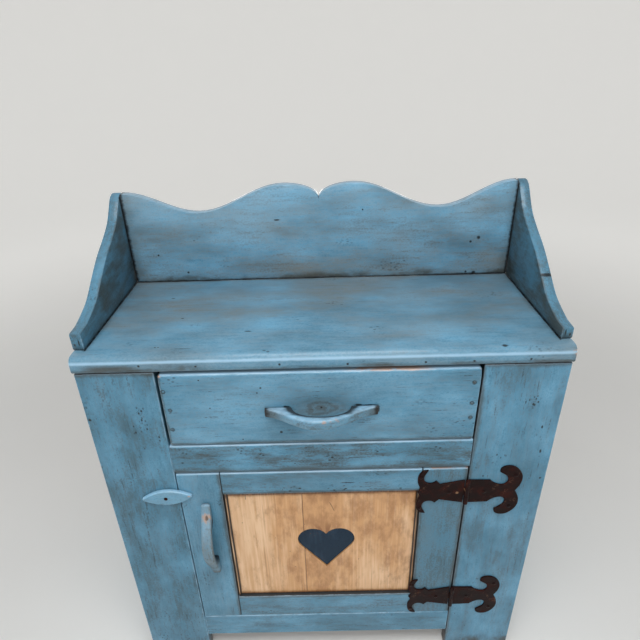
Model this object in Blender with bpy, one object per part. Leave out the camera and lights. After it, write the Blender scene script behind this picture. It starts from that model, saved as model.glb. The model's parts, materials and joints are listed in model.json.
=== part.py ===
"""Painted milk cupboard: a scalloped gallery on the top board, one drawer and one framed door.

Metres, +Z up, the front faces -Y. The origin is on the floor, under the middle of the whole cupboard's box.
"""

import math

import bmesh
import bpy
from mathutils import Matrix, Vector

# Clearances between pieces that touch, and the gaps that show round the drawer and the door
FIT = 0.0003
DRAWER_GAP_LEFT = 0.004
DRAWER_GAP_RIGHT = 0.002
DRAWER_GAP_TOP = 0.006
DRAWER_GAP_BOTTOM = 0.003
DRAWER_GAP_REAR = 0.0005
DOOR_GAP = 0.0015
DOOR_GAP_TOP = 0.003
PLANK_GAP = 0.0008

# Carcass, front to back and side to side
CARCASS_WIDTH = 0.752
CARCASS_DEPTH = 0.301
SIDE_THICKNESS = 0.019
FRAME_THICKNESS = 0.022
BACK_THICKNESS = 0.012
BACK_PLANKS = 4
LEFT_STILE_WIDTH = 0.1205
RIGHT_STILE_WIDTH = 0.132
EDGE_ROUND = 0.0012
WORN_ROUND = 0.004

# Carcass, from the floor up
FOOT_HEIGHT = 0.055
SKIRT_HEIGHT = 0.060
DOOR_OPENING_HEIGHT = 0.394
RAIL_HEIGHT = 0.0585
DRAWER_OPENING_HEIGHT = 0.1455
TOP_THICKNESS = 0.027
TOP_OVERHANG = 0.004
TOP_ROUND = 0.0125
TOP_END_ROUND = 0.003
FOOT_WIDTH = 0.058
FOOT_ARCH_HEIGHT = 0.044

# Inside the carcass
BOTTOM_THICKNESS = 0.019
SHELF_THICKNESS = 0.018
SHELF_HEIGHT = 0.300
SHELF_SETBACK = 0.018
CLEAT_WIDTH = 0.020
CLEAT_HEIGHT = 0.022
RUNNER_THICKNESS = 0.016
RUNNER_LIP = 0.010
GUIDE_WIDTH = 0.014
GUIDE_HEIGHT = 0.024
GUIDE_CLEARANCE = 0.0012
STOP_THICKNESS = 0.012
STOP_WIDTH = 0.030
STOP_LIP = 0.009
STOP_MARGIN = 0.020

# Gallery: three boards that stand on the top
GALLERY_THICKNESS = 0.0185
GALLERY_SETBACK = 0.0235
GALLERY_ROUND = 0.003
GALLERY_LEFT_CORNER_HEIGHT = 0.173
GALLERY_RIGHT_CORNER_HEIGHT = 0.180
GALLERY_HUMP_HEIGHT = 0.183
GALLERY_HUMP_X = 0.065
GALLERY_NOTCH_HEIGHT = 0.156
GALLERY_DIP_HEIGHT = 0.135
GALLERY_DIP_X = 0.223
GALLERY_LEFT_FRONT_HEIGHT = 0.029
GALLERY_RIGHT_FRONT_HEIGHT = 0.019
# Sweep of a gallery side as (share of the way from front to rear, share of the rise from front to corner)
GALLERY_SWEEP_SHARES = (
    (0.09, 0.01), (0.185, 0.06), (0.285, 0.135), (0.41, 0.295), (0.54, 0.455), (0.685, 0.59),
    (0.795, 0.71), (0.865, 0.84), (0.925, 0.96), (0.975, 1.0),
)

# Drawer box
DRAWER_CORNER = 0.005
DRAWER_SIDE_THICKNESS = 0.012
DRAWER_SIDE_INSET = 0.004
DRAWER_SIDE_DROP = 0.010
DRAWER_BACK_DROP = 0.006
DRAWER_BOTTOM_THICKNESS = 0.006
DRAWER_BOTTOM_RISE = 0.010
DRAWER_GROOVE = 0.005

# Bow handles of the drawer and the door
HANDLE_LENGTH = 0.178
HANDLE_REACH = 0.042
HANDLE_BOW_SHIFT = 0.006
HANDLE_BOW_POWER = 1.5
HANDLE_WIDTH = 0.019
HANDLE_END_WIDTH = 0.0165
HANDLE_FOOT = 0.007
HANDLE_GAP_LENGTH = 0.093
HANDLE_GAP_DEPTH = 0.026
HANDLE_ROUND = 0.0045
DRAWER_HANDLE_SHIFT = 0.0015
DRAWER_HANDLE_DROP = 0.0023
DOOR_HANDLE_FROM_EDGE = 0.043
DOOR_HANDLE_BELOW_TOP = 0.1565

# Door: grooved frame round a two-board panel with a heart let into it
LOCK_STILE_WIDTH = 0.0747
HINGE_STILE_WIDTH = 0.0771
DOOR_TOP_RAIL_HEIGHT = 0.0495
DOOR_BOTTOM_RAIL_HEIGHT = 0.060
PANEL_SETBACK = 0.007
PANEL_THICKNESS = 0.009
PANEL_GROOVE = 0.006
PANEL_LEFT_WIDTH = 0.137
TONGUE_SHOULDER = 0.004
BEAD_WIDTH = 0.005
BEAD_DEPTH = 0.003
HEART_LOBE_RADIUS = 0.0285
HEART_LOBE_SPREAD = 0.0245
HEART_TIP_DROP = 0.0765
HEART_RISE = 0.0135
HEART_SHIFT = 0.0055
HEART_SINK = 0.002
HEART_EDGE = 0.0012

# Ram's-horn hinges
LEAF_THICKNESS = 0.003
LEAF_EDGE = 0.0006
KNUCKLE_RADIUS = 0.004
KNUCKLE_LIFT = 0.0002
KNUCKLE_GAP = 0.0006
LEAF_NOTCH = 0.0008
HINGE_PIN_RADIUS = 0.002
HINGE_PIN_HEAD_RADIUS = 0.0036
HINGE_PIN_HEAD = 0.0016
HINGE_PIN_TAIL = 0.003
HINGE_HALF_HEIGHT = 0.026
HINGE_FROM_END = 0.0545
# Upper half of each leaf as stretches of (distance from the pin, height), smooth within a stretch
FRAME_LEAF_HORN = (
    ((0.0385, 0.025), (0.046, 0.0185), (0.056, 0.0145), (0.064, 0.0155), (0.069, 0.0225),
     (0.0665, 0.033), (0.0595, 0.039), (0.053, 0.0435)),
    ((0.053, 0.0435), (0.0545, 0.0515), (0.062, 0.056), (0.074, 0.0555), (0.0855, 0.047),
     (0.0925, 0.033), (0.0915, 0.016), (0.084, 0.0)),
)
DOOR_LEAF_HORN = (
    ((0.0265, 0.0215), (0.046, 0.0175)),
    ((0.046, 0.0175), (0.0535, 0.0255)),
    ((0.0535, 0.0255), (0.059, 0.021), (0.068, 0.021), (0.0745, 0.0275), (0.0745, 0.037), (0.0685, 0.0500)),
    ((0.0685, 0.0500), (0.078, 0.0480), (0.0845, 0.038), (0.085, 0.0225), (0.0808, 0.009), (0.0845, 0.0)),
)

# Turn button on the left stile
BUTTON_LENGTH = 0.0875
BUTTON_WIDTH = 0.033
BUTTON_THICKNESS = 0.007
BUTTON_EDGE_THICKNESS = 0.005
BUTTON_TIP = 0.0012
BUTTON_CROWN_LONG_SHARE = 0.965
BUTTON_CROWN_WIDE_SHARE = 0.88
BUTTON_CLEARANCE = 0.0005
BUTTON_PIVOT_SHIFT = 0.002
BUTTON_FROM_OPENING = 0.0207
BUTTON_BELOW_RAIL = 0.0514
BUTTON_TILT = 3.5
NAIL_RADIUS = 0.0018
NAIL_HEAD_RADIUS = 0.0034
NAIL_HEAD = 0.0012
NAIL_DEPTH = 0.015

# Facets of the curves
ROUND_SIDES = 16
CURVE_STEPS = 12
HORN_STEPS = 4
WEAR_STEPS = 3
SHARP_ANGLE = math.radians(35)

# Places that follow from the sizes above
FACE = (FIT + HANDLE_REACH - CARCASS_DEPTH) / 2
REAR = FACE + CARCASS_DEPTH
FRAME_BACK = FACE + FRAME_THICKNESS
PLANK_FRONT = REAR - BACK_THICKNESS
HALF_WIDTH = CARCASS_WIDTH / 2
TOP_HALF = HALF_WIDTH + TOP_OVERHANG
SIDE_INNER = HALF_WIDTH - SIDE_THICKNESS
OPENING_LEFT = LEFT_STILE_WIDTH - HALF_WIDTH
OPENING_RIGHT = HALF_WIDTH - RIGHT_STILE_WIDTH
SKIRT_TOP = FOOT_HEIGHT + SKIRT_HEIGHT
RAIL_BOTTOM = SKIRT_TOP + DOOR_OPENING_HEIGHT
RAIL_TOP = RAIL_BOTTOM + RAIL_HEIGHT
TOP_UNDER = RAIL_TOP + DRAWER_OPENING_HEIGHT
TOP_SURFACE = TOP_UNDER + TOP_THICKNESS

DRAWER_LEFT = OPENING_LEFT + DRAWER_GAP_LEFT
DRAWER_RIGHT = OPENING_RIGHT - DRAWER_GAP_RIGHT
DRAWER_TOP = TOP_UNDER - DRAWER_GAP_TOP
DRAWER_BASE = RAIL_TOP + FIT
DRAWER_REAR = PLANK_FRONT - DRAWER_GAP_REAR
DRAWER_SIDE_LEFT = DRAWER_LEFT + DRAWER_SIDE_INSET
DRAWER_SIDE_RIGHT = DRAWER_RIGHT - DRAWER_SIDE_INSET
DRAWER_INNER_LEFT = DRAWER_SIDE_LEFT + DRAWER_SIDE_THICKNESS
DRAWER_INNER_RIGHT = DRAWER_SIDE_RIGHT - DRAWER_SIDE_THICKNESS

DOOR_LEFT = OPENING_LEFT + DOOR_GAP
DOOR_RIGHT = OPENING_RIGHT - DOOR_GAP
DOOR_TOP = RAIL_BOTTOM - DOOR_GAP_TOP
DOOR_BOTTOM = SKIRT_TOP + DOOR_GAP
PANEL_LEFT = DOOR_LEFT + LOCK_STILE_WIDTH
PANEL_RIGHT = DOOR_RIGHT - HINGE_STILE_WIDTH
PANEL_TOP = DOOR_TOP - DOOR_TOP_RAIL_HEIGHT
PANEL_BOTTOM = DOOR_BOTTOM + DOOR_BOTTOM_RAIL_HEIGHT
PANEL_FRONT = FACE + PANEL_SETBACK
PANEL_BACK = PANEL_FRONT + PANEL_THICKNESS
PANEL_JOINT = PANEL_LEFT + PANEL_LEFT_WIDTH

HINGE_X = (DOOR_RIGHT + OPENING_RIGHT) / 2
HINGE_AXIS_OUT = KNUCKLE_LIFT + KNUCKLE_RADIUS
HINGE_Y = FACE - FIT - HINGE_AXIS_OUT
HINGE_BORE = HINGE_PIN_RADIUS + FIT
BUTTON_X = OPENING_LEFT - BUTTON_FROM_OPENING
BUTTON_Z = RAIL_BOTTOM - BUTTON_BELOW_RAIL
BUTTON_BACK = FACE - BUTTON_CLEARANCE

AXES = {"X": Vector((1, 0, 0)), "Y": Vector((0, 1, 0))}
FLAT = {"X": lambda u, v: (0, u, v), "Y": lambda u, v: (u, 0, v)}


def clear_scene():
    """Start from an empty scene."""
    for obj in list(bpy.data.objects):
        bpy.data.objects.remove(obj, do_unlink=True)


def finish(name, colour, roughness, metallic=0.0):
    """One finish: a named Principled material."""
    material = bpy.data.materials.new(name)
    material.use_nodes = True
    shader = material.node_tree.nodes["Principled BSDF"]
    shader.inputs["Base Color"].default_value = (*colour, 1.0)
    shader.inputs["Roughness"].default_value = roughness
    shader.inputs["Metallic"].default_value = metallic
    material.diffuse_color = (*colour, 1.0)
    return material


def moving_body(name, where):
    """An empty on a joint's axis, which the pieces of one moving body hang from."""
    empty = bpy.data.objects.new(name, None)
    empty.location = where
    bpy.context.collection.objects.link(empty)
    return empty


def place(name, mesh, where, material, body=None, turn=(0, 0, 0)):
    """A named piece at a place in the cupboard, on the carcass or on a moving body."""
    if not mesh.materials:
        mesh.materials.append(material)
    piece = bpy.data.objects.new(name, mesh)
    bpy.context.collection.objects.link(piece)
    piece.parent = body
    piece.location = Vector(where) - (body.location if body else Vector())
    piece.rotation_euler = turn
    return piece


def mesh_from(name, shape):
    """The finished mesh of a bmesh, shaded smooth except over sharp edges."""
    bmesh.ops.recalc_face_normals(shape, faces=shape.faces)
    mesh = bpy.data.meshes.new(name)
    shape.to_mesh(mesh)
    shape.free()
    mesh.shade_smooth()
    mesh.set_sharp_from_angle(angle=SHARP_ANGLE)
    return mesh


def ease(piece, width, segments=1):
    """Round the sharp edges of a piece."""
    bevel = piece.modifiers.new("eased edges", "BEVEL")
    bevel.width = width
    bevel.segments = segments
    bevel.limit_method = "ANGLE"
    bevel.angle_limit = SHARP_ANGLE


def round_over(shape, edges, radius):
    """Round some edges of a bmesh."""
    bmesh.ops.bevel(shape, geom=edges, offset=radius, segments=WEAR_STEPS, profile=0.5, affect="EDGES")


def block(name, x, y, z, worn=0.0, corner=0.0):
    """A box mesh round its own centre, and that centre. Wear rounds its corners and the front of its top."""
    low, high = (Vector(end) for end in zip(x, y, z))
    shape = bmesh.new()
    bmesh.ops.create_cube(shape, size=1.0)
    bmesh.ops.scale(shape, vec=high - low, verts=shape.verts)
    if corner:
        along_y = [edge for edge in shape.edges if edge.verts[0].co.y * edge.verts[1].co.y < 0]
        round_over(shape, along_y, corner)
    if worn:
        front_top = [edge for edge in shape.edges if all(vert.co.y < 0 < vert.co.z for vert in edge.verts)]
        round_over(shape, front_top, worn)
    return mesh_from(name, shape), (low + high) / 2


def board(name, x, y, z, material, body=None, edge=EDGE_ROUND, worn=0.0, corner=0.0):
    """A sawn board between two places on each axis."""
    mesh, centre = block(name, x, y, z, worn, corner)
    piece = place(name, mesh, centre, material, body)
    if edge:
        ease(piece, edge)
    return piece


def prism(name, outline, axis, length, front_edge=0.0):
    """A flat outline carried along one axis, with the edge of its far face eased on request."""
    shape = bmesh.new()
    face = shape.faces.new([shape.verts.new(FLAT[axis](u, v)) for u, v in outline])
    grown = bmesh.ops.extrude_face_region(shape, geom=[face])["geom"]
    moved = [item for item in grown if isinstance(item, bmesh.types.BMVert)]
    bmesh.ops.translate(shape, vec=AXES[axis] * length, verts=moved)
    if front_edge:
        rim = [edge for edge in shape.edges if all(vert in moved for vert in edge.verts)]
        bmesh.ops.bevel(shape, geom=rim, offset=front_edge, segments=1, affect="EDGES", clamp_overlap=True)
    return mesh_from(name, shape)


def loft(name, rings):
    """A skin over rings with equal counts of points, closed at both ends."""
    shape = bmesh.new()
    loops = [[shape.verts.new(point) for point in ring] for ring in rings]
    for near, far in zip(loops, loops[1:]):
        for i in range(len(near)):
            shape.faces.new((near[i - 1], near[i], far[i], far[i - 1]))
    shape.faces.new(loops[0])
    shape.faces.new(loops[-1])
    return mesh_from(name, shape)


def turned(name, profile, closed=False):
    """A (radius, height) profile turned about Z."""
    shape = bmesh.new()
    points = [shape.verts.new((radius, 0, height)) for radius, height in profile]
    for near, far in zip(points, points[1:]):
        shape.edges.new((near, far))
    if closed:
        shape.edges.new((points[-1], points[0]))
    bmesh.ops.spin(
        shape, geom=shape.verts[:] + shape.edges[:], cent=(0, 0, 0), axis=(0, 0, 1),
        angle=math.tau, steps=ROUND_SIDES, use_merge=True,
    )
    bmesh.ops.remove_doubles(shape, verts=shape.verts, dist=1e-6)
    return mesh_from(name, shape)


def boolean(piece, other, operation):
    """Cut a helper from a piece, or join it on."""
    modifier = piece.modifiers.new(other.name, "BOOLEAN")
    modifier.object = other
    modifier.operation = operation
    modifier.solver = "EXACT"


def helper(name, mesh, where, turn=(0, 0, 0)):
    """A shape that only cuts or joins others and is not a piece itself."""
    obj = bpy.data.objects.new(name, mesh)
    bpy.context.collection.objects.link(obj)
    obj.location = where
    obj.rotation_euler = turn
    obj.hide_render = True
    obj.display_type = "WIRE"
    return obj


def groove(piece, x, y, z):
    """Cut a box out of a piece."""
    boolean(piece, helper(f"{piece.name}_groove", *block("groove", x, y, z)), "DIFFERENCE")


def tongue(piece, x, y, z):
    """Join a box onto a piece."""
    boolean(piece, helper(f"{piece.name}_tongue", *block("tongue", x, y, z)), "UNION")


def fused(name, meshes):
    """One mesh from meshes that overlap."""
    pieces = [helper(f"{name}_{i}", mesh, (0, 0, 0)) for i, mesh in enumerate(meshes)]
    for other in pieces[1:]:
        boolean(pieces[0], other, "UNION")
    graph = bpy.context.evaluated_depsgraph_get()
    result = bpy.data.meshes.new_from_object(pieces[0].evaluated_get(graph))
    result.name = name
    for piece in pieces:
        bpy.data.objects.remove(piece, do_unlink=True)
    return result


def steps(low, high, count):
    """Evenly spaced values from low to high, both included."""
    return [low + (high - low) * i / count for i in range(count + 1)]


def ramp(start, end, count=CURVE_STEPS):
    """An S-shaped run of points from start to end, level at both ends."""
    points = []
    for t in steps(0, 1, count):
        rise = (1 - math.cos(math.pi * t)) / 2
        points.append((start[0] + (end[0] - start[0]) * t, start[1] + (end[1] - start[1]) * rise))
    return points


def arc(centre, radii, start, end, count=CURVE_STEPS):
    """Points on an ellipse from one angle to another, in degrees."""
    angles = [math.radians(a) for a in steps(start, end, count)]
    return [(centre[0] + radii[0] * math.cos(a), centre[1] + radii[1] * math.sin(a)) for a in angles]


def smooth(points, count=HORN_STEPS):
    """A smooth curve through points, each stretch bent by its neighbours."""
    ends = [points[0], *points, points[-1]]
    curve = []
    for before, start, end, after in zip(ends, ends[1:], ends[2:], ends[3:]):
        for t in steps(0, 1, count)[:-1]:
            weights = (
                -t + 2 * t**2 - t**3,
                2 - 5 * t**2 + 3 * t**3,
                t + 4 * t**2 - 3 * t**3,
                t**3 - t**2,
            )
            around = (before, start, end, after)
            curve.append(tuple(sum(w * p[i] for w, p in zip(weights, around)) / 2 for i in (0, 1)))
    return [*curve, points[-1]]


def without_repeats(points):
    """The points with each one that repeats its neighbour left out."""
    return [p for i, p in enumerate(points) if math.dist(p, points[i - 1]) > 1e-6]


def mirrored(half):
    """A closed outline from its upper half, which starts and ends on the middle line or above it."""
    return without_repeats(half + [(u, -v) for u, v in reversed(half)])


def make_sides(paint):
    """Side boards with an arch sawn out of the foot."""
    front = FRAME_BACK + FIT
    depth = PLANK_FRONT - FIT - front
    height = TOP_UNDER - FIT
    arch = arc((depth / 2, 0), (depth / 2 - FOOT_WIDTH, FOOT_ARCH_HEIGHT), 180, 0)
    outline = [(0, 0), *arch, (depth, 0), (depth, height), (0, height)]
    for name, x in (("left_side", -HALF_WIDTH), ("right_side", SIDE_INNER)):
        place(name, prism(name, outline, "X", SIDE_THICKNESS), (x, front, 0), paint)


def make_face_frame(paint):
    """Stiles that run to the floor, the drawer rail and the skirt under the door."""
    thick = (FACE, FRAME_BACK)
    tall = (0, TOP_UNDER - FIT)
    between = (OPENING_LEFT + FIT, OPENING_RIGHT - FIT)
    left = board("left_face_stile", (-HALF_WIDTH, OPENING_LEFT), thick, tall, paint)
    board("right_face_stile", (OPENING_RIGHT, HALF_WIDTH), thick, tall, paint)
    board("drawer_rail", between, thick, (RAIL_BOTTOM, RAIL_TOP), paint, worn=WORN_ROUND)
    board("bottom_rail", between, thick, (FOOT_HEIGHT, SKIRT_TOP), paint)
    return left


def make_top(paint):
    """Top board with its front edge rounded over and its ends eased."""
    width = 2 * TOP_HALF
    nose = arc((TOP_ROUND, TOP_THICKNESS - TOP_ROUND), (TOP_ROUND, TOP_ROUND), 180, 90, 6)
    outline = [(0, 0), *nose, (CARCASS_DEPTH, TOP_THICKNESS), (CARCASS_DEPTH, 0)]
    mesh = prism("top_board", outline, "X", width)
    ease(place("top_board", mesh, (-TOP_HALF, FACE, TOP_UNDER), paint), TOP_END_ROUND, 2)


def make_back(wood):
    """Upright planks nailed across the back."""
    width = (CARCASS_WIDTH - (BACK_PLANKS - 1) * PLANK_GAP) / BACK_PLANKS
    tall = (FOOT_HEIGHT, TOP_UNDER - FIT)
    for i in range(BACK_PLANKS):
        low = -HALF_WIDTH + i * (width + PLANK_GAP)
        board(f"back_plank_{i + 1}", (low, low + width), (PLANK_FRONT, REAR), tall, wood)


def make_inside(wood):
    """Bottom and shelf on their cleats, drawer runners and guides, and the door's stop."""
    reach = SIDE_INNER - FIT
    rear = PLANK_FRONT - FIT
    start = FRAME_BACK + FIT
    shelf_front = start + SHELF_SETBACK
    bottom_under = SKIRT_TOP - BOTTOM_THICKNESS
    shelf_under = SHELF_HEIGHT - SHELF_THICKNESS
    runner_under = RAIL_TOP - RUNNER_THICKNESS
    board("bottom_board", (-reach, reach), (start, rear), (bottom_under, SKIRT_TOP), wood, edge=0)
    board("shelf", (-reach, reach), (shelf_front, rear), (shelf_under, SHELF_HEIGHT), wood)
    for side, sign, drawer_side in (("left", -1, DRAWER_SIDE_LEFT), ("right", 1, DRAWER_SIDE_RIGHT)):
        cleat = sorted((sign * reach, sign * (reach - CLEAT_WIDTH)))
        supports = (
            ("bottom_cleat", start, bottom_under),
            ("shelf_cleat", shelf_front, shelf_under),
            ("runner_cleat", start, runner_under),
        )
        for name, front, under in supports:
            top = under - FIT
            board(f"{side}_{name}", cleat, (front, rear), (top - CLEAT_HEIGHT, top), wood, edge=0)
        inner = drawer_side - sign * (DRAWER_SIDE_THICKNESS + RUNNER_LIP)
        runner = sorted((sign * reach, inner))
        board(f"{side}_drawer_runner", runner, (start, rear), (runner_under, RAIL_TOP), wood, edge=0)
        near = drawer_side + sign * GUIDE_CLEARANCE
        guide = sorted((near, near + sign * GUIDE_WIDTH))
        base = RAIL_TOP + FIT
        board(f"{side}_drawer_guide", guide, (start, rear), (base, base + GUIDE_HEIGHT), wood, edge=0)
    stop_right = OPENING_LEFT + STOP_LIP
    stop_across = (stop_right - STOP_WIDTH, stop_right)
    stop_tall = (SKIRT_TOP + STOP_MARGIN, RAIL_BOTTOM - STOP_MARGIN)
    board("door_stop", stop_across, (start, start + STOP_THICKNESS), stop_tall, wood)


def make_gallery(paint):
    """Scalloped back board between two side boards that sweep down to the front."""
    base = TOP_SURFACE + FIT
    inner = TOP_HALF - GALLERY_THICKNESS
    half = inner - FIT
    hump = (GALLERY_HUMP_X, GALLERY_HUMP_HEIGHT)
    dip = (GALLERY_DIP_X, GALLERY_DIP_HEIGHT)
    rise = GALLERY_HUMP_HEIGHT - GALLERY_NOTCH_HEIGHT
    from_notch = arc((GALLERY_HUMP_X, GALLERY_NOTCH_HEIGHT), (GALLERY_HUMP_X, rise), 180, 90)
    wings = [
        [*from_notch, *ramp(hump, dip)[1:], *ramp(dip, (half, corner_height))[1:]]
        for corner_height in (GALLERY_LEFT_CORNER_HEIGHT, GALLERY_RIGHT_CORNER_HEIGHT)
    ]
    left = [(-x, z) for x, z in reversed(wings[0][1:])]
    outline = [(-half, 0), *left, *wings[1], (half, 0)]
    mesh = prism("gallery_back", outline, "Y", GALLERY_THICKNESS)
    ease(place("gallery_back", mesh, (0, REAR - GALLERY_THICKNESS, base), paint), GALLERY_ROUND, 2)
    sides = (
        ("gallery_left", -TOP_HALF, GALLERY_LEFT_FRONT_HEIGHT, GALLERY_LEFT_CORNER_HEIGHT),
        ("gallery_right", inner, GALLERY_RIGHT_FRONT_HEIGHT, GALLERY_RIGHT_CORNER_HEIGHT),
    )
    length = CARCASS_DEPTH - GALLERY_SETBACK
    for name, x, front_height, corner_height in sides:
        climb = corner_height - front_height
        sweep = smooth([(length * along, front_height + climb * up) for along, up in GALLERY_SWEEP_SHARES])
        outline = [(0, 0), (0, front_height), *sweep, (length, corner_height), (length, 0)]
        mesh = prism(name, outline, "X", GALLERY_THICKNESS)
        ease(place(name, mesh, (x, FACE + GALLERY_SETBACK, base), paint), GALLERY_ROUND, 2)


def make_drawer(body, paint, wood):
    """Nailed drawer box: the bottom slides in grooves and the back stands on it."""
    base = DRAWER_BASE + DRAWER_BOTTOM_RISE
    bottom = (base, base + DRAWER_BOTTOM_THICKNESS)
    slot = (bottom[0] - FIT, bottom[1] + FIT)
    start = FRAME_BACK + FIT
    side_top = DRAWER_TOP - DRAWER_SIDE_DROP
    across = (DRAWER_INNER_LEFT - DRAWER_GROOVE, DRAWER_INNER_RIGHT + DRAWER_GROOVE)
    front = board(
        "drawer_front", (DRAWER_LEFT, DRAWER_RIGHT), (FACE, FRAME_BACK),
        (RAIL_TOP + DRAWER_GAP_BOTTOM, DRAWER_TOP), paint, body, worn=WORN_ROUND, corner=DRAWER_CORNER,
    )
    groove(front, across, (FRAME_BACK - DRAWER_GROOVE, FRAME_BACK + DRAWER_GROOVE), slot)
    walls = (
        ("drawer_left_side", (DRAWER_SIDE_LEFT, DRAWER_INNER_LEFT), DRAWER_INNER_LEFT),
        ("drawer_right_side", (DRAWER_INNER_RIGHT, DRAWER_SIDE_RIGHT), DRAWER_INNER_RIGHT),
    )
    for name, x, mouth in walls:
        wall = board(name, x, (start, DRAWER_REAR), (DRAWER_BASE, side_top), wood, body, edge=0)
        cut = (mouth - DRAWER_GROOVE, mouth + DRAWER_GROOVE)
        groove(wall, cut, (start - DRAWER_GROOVE, DRAWER_REAR + DRAWER_GROOVE), slot)
    bottom_across = (across[0] + FIT, across[1] - FIT)
    bottom_deep = (FRAME_BACK - DRAWER_GROOVE + FIT, DRAWER_REAR)
    board("drawer_bottom", bottom_across, bottom_deep, bottom, wood, body, edge=0)
    back_across = (DRAWER_INNER_LEFT + FIT, DRAWER_INNER_RIGHT - FIT)
    back_deep = (DRAWER_REAR - DRAWER_SIDE_THICKNESS, DRAWER_REAR)
    back_tall = (slot[1], side_top - DRAWER_BACK_DROP)
    board("drawer_back", back_across, back_deep, back_tall, wood, body, edge=0)


def handle_section(x):
    """Ring of a bow handle at one distance from its middle: a rounded oblong from the seat to the bow."""
    from_crest = x + HANDLE_BOW_SHIFT
    flank = HANDLE_LENGTH / 2 + math.copysign(HANDLE_BOW_SHIFT, from_crest)
    share = min(abs(from_crest) / flank, 1.0)
    bow = HANDLE_FOOT + (HANDLE_REACH - HANDLE_FOOT) * math.cos(share * math.pi / 2) ** HANDLE_BOW_POWER
    hollow = max(0.0, 1 - (x / (HANDLE_GAP_LENGTH / 2)) ** 2)
    low, high = -bow, -HANDLE_GAP_DEPTH * math.sqrt(hollow)
    half = (HANDLE_WIDTH + (HANDLE_END_WIDTH - HANDLE_WIDTH) * share) / 2
    ease_y = min(HANDLE_ROUND, (high - low) / 3)
    ease_z = min(HANDLE_ROUND, half / 2)
    ring = []
    for y, z, start in ((low, -half, 180), (high, -half, 270), (high, half, 0), (low, half, 90)):
        centre = (y + math.copysign(ease_y, -y + (low + high) / 2), z - math.copysign(ease_z, z))
        ring += arc(centre, (ease_y, ease_z), start, start + 90, 2)
    return [(x, y, z) for y, z in ring]


def make_handles(drawer, door, paint):
    """The same carved bow on the drawer, lying level, and on the door, upright."""
    gap = [HANDLE_GAP_LENGTH / 2 * math.cos(math.radians(a)) for a in steps(180, 0, 2 * CURVE_STEPS)]
    foot = (HANDLE_LENGTH - HANDLE_GAP_LENGTH) / 6
    outer = [HANDLE_LENGTH / 2 - i * foot for i in range(3)]
    stations = [-x for x in outer] + gap + list(reversed(outer))
    mesh = loft("bow_handle", [handle_section(x) for x in stations])
    seat = FACE - FIT
    middle = (DRAWER_LEFT + DRAWER_RIGHT) / 2 + DRAWER_HANDLE_SHIFT
    level = (RAIL_TOP + DRAWER_GAP_BOTTOM + DRAWER_TOP) / 2 - DRAWER_HANDLE_DROP
    place("drawer_handle", mesh, (middle, seat, level), paint, drawer)
    upright = (DOOR_LEFT + DOOR_HANDLE_FROM_EDGE, seat, DOOR_TOP - DOOR_HANDLE_BELOW_TOP)
    place("door_handle", mesh, upright, paint, door, turn=(0, math.radians(90), 0))


def heart_outline(inset):
    """A heart of two round lobes and straight sides, drawn in by an inset, about its lobes' level."""
    radius = HEART_LOBE_RADIUS - inset
    spread, drop = HEART_LOBE_SPREAD, HEART_TIP_DROP
    slope = math.atan2(spread, drop) + math.asin(HEART_LOBE_RADIUS / math.hypot(spread, drop))
    cleft = math.degrees(math.acos(-spread / radius))
    lobe = arc((spread, 0), (radius, radius), cleft, -math.degrees(slope))
    tip = (0, inset / math.sin(slope) - drop)
    right = lobe[1:]
    return [(0, lobe[0][1]), *right, tip, *[(-x, z) for x, z in reversed(right)]]


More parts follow.
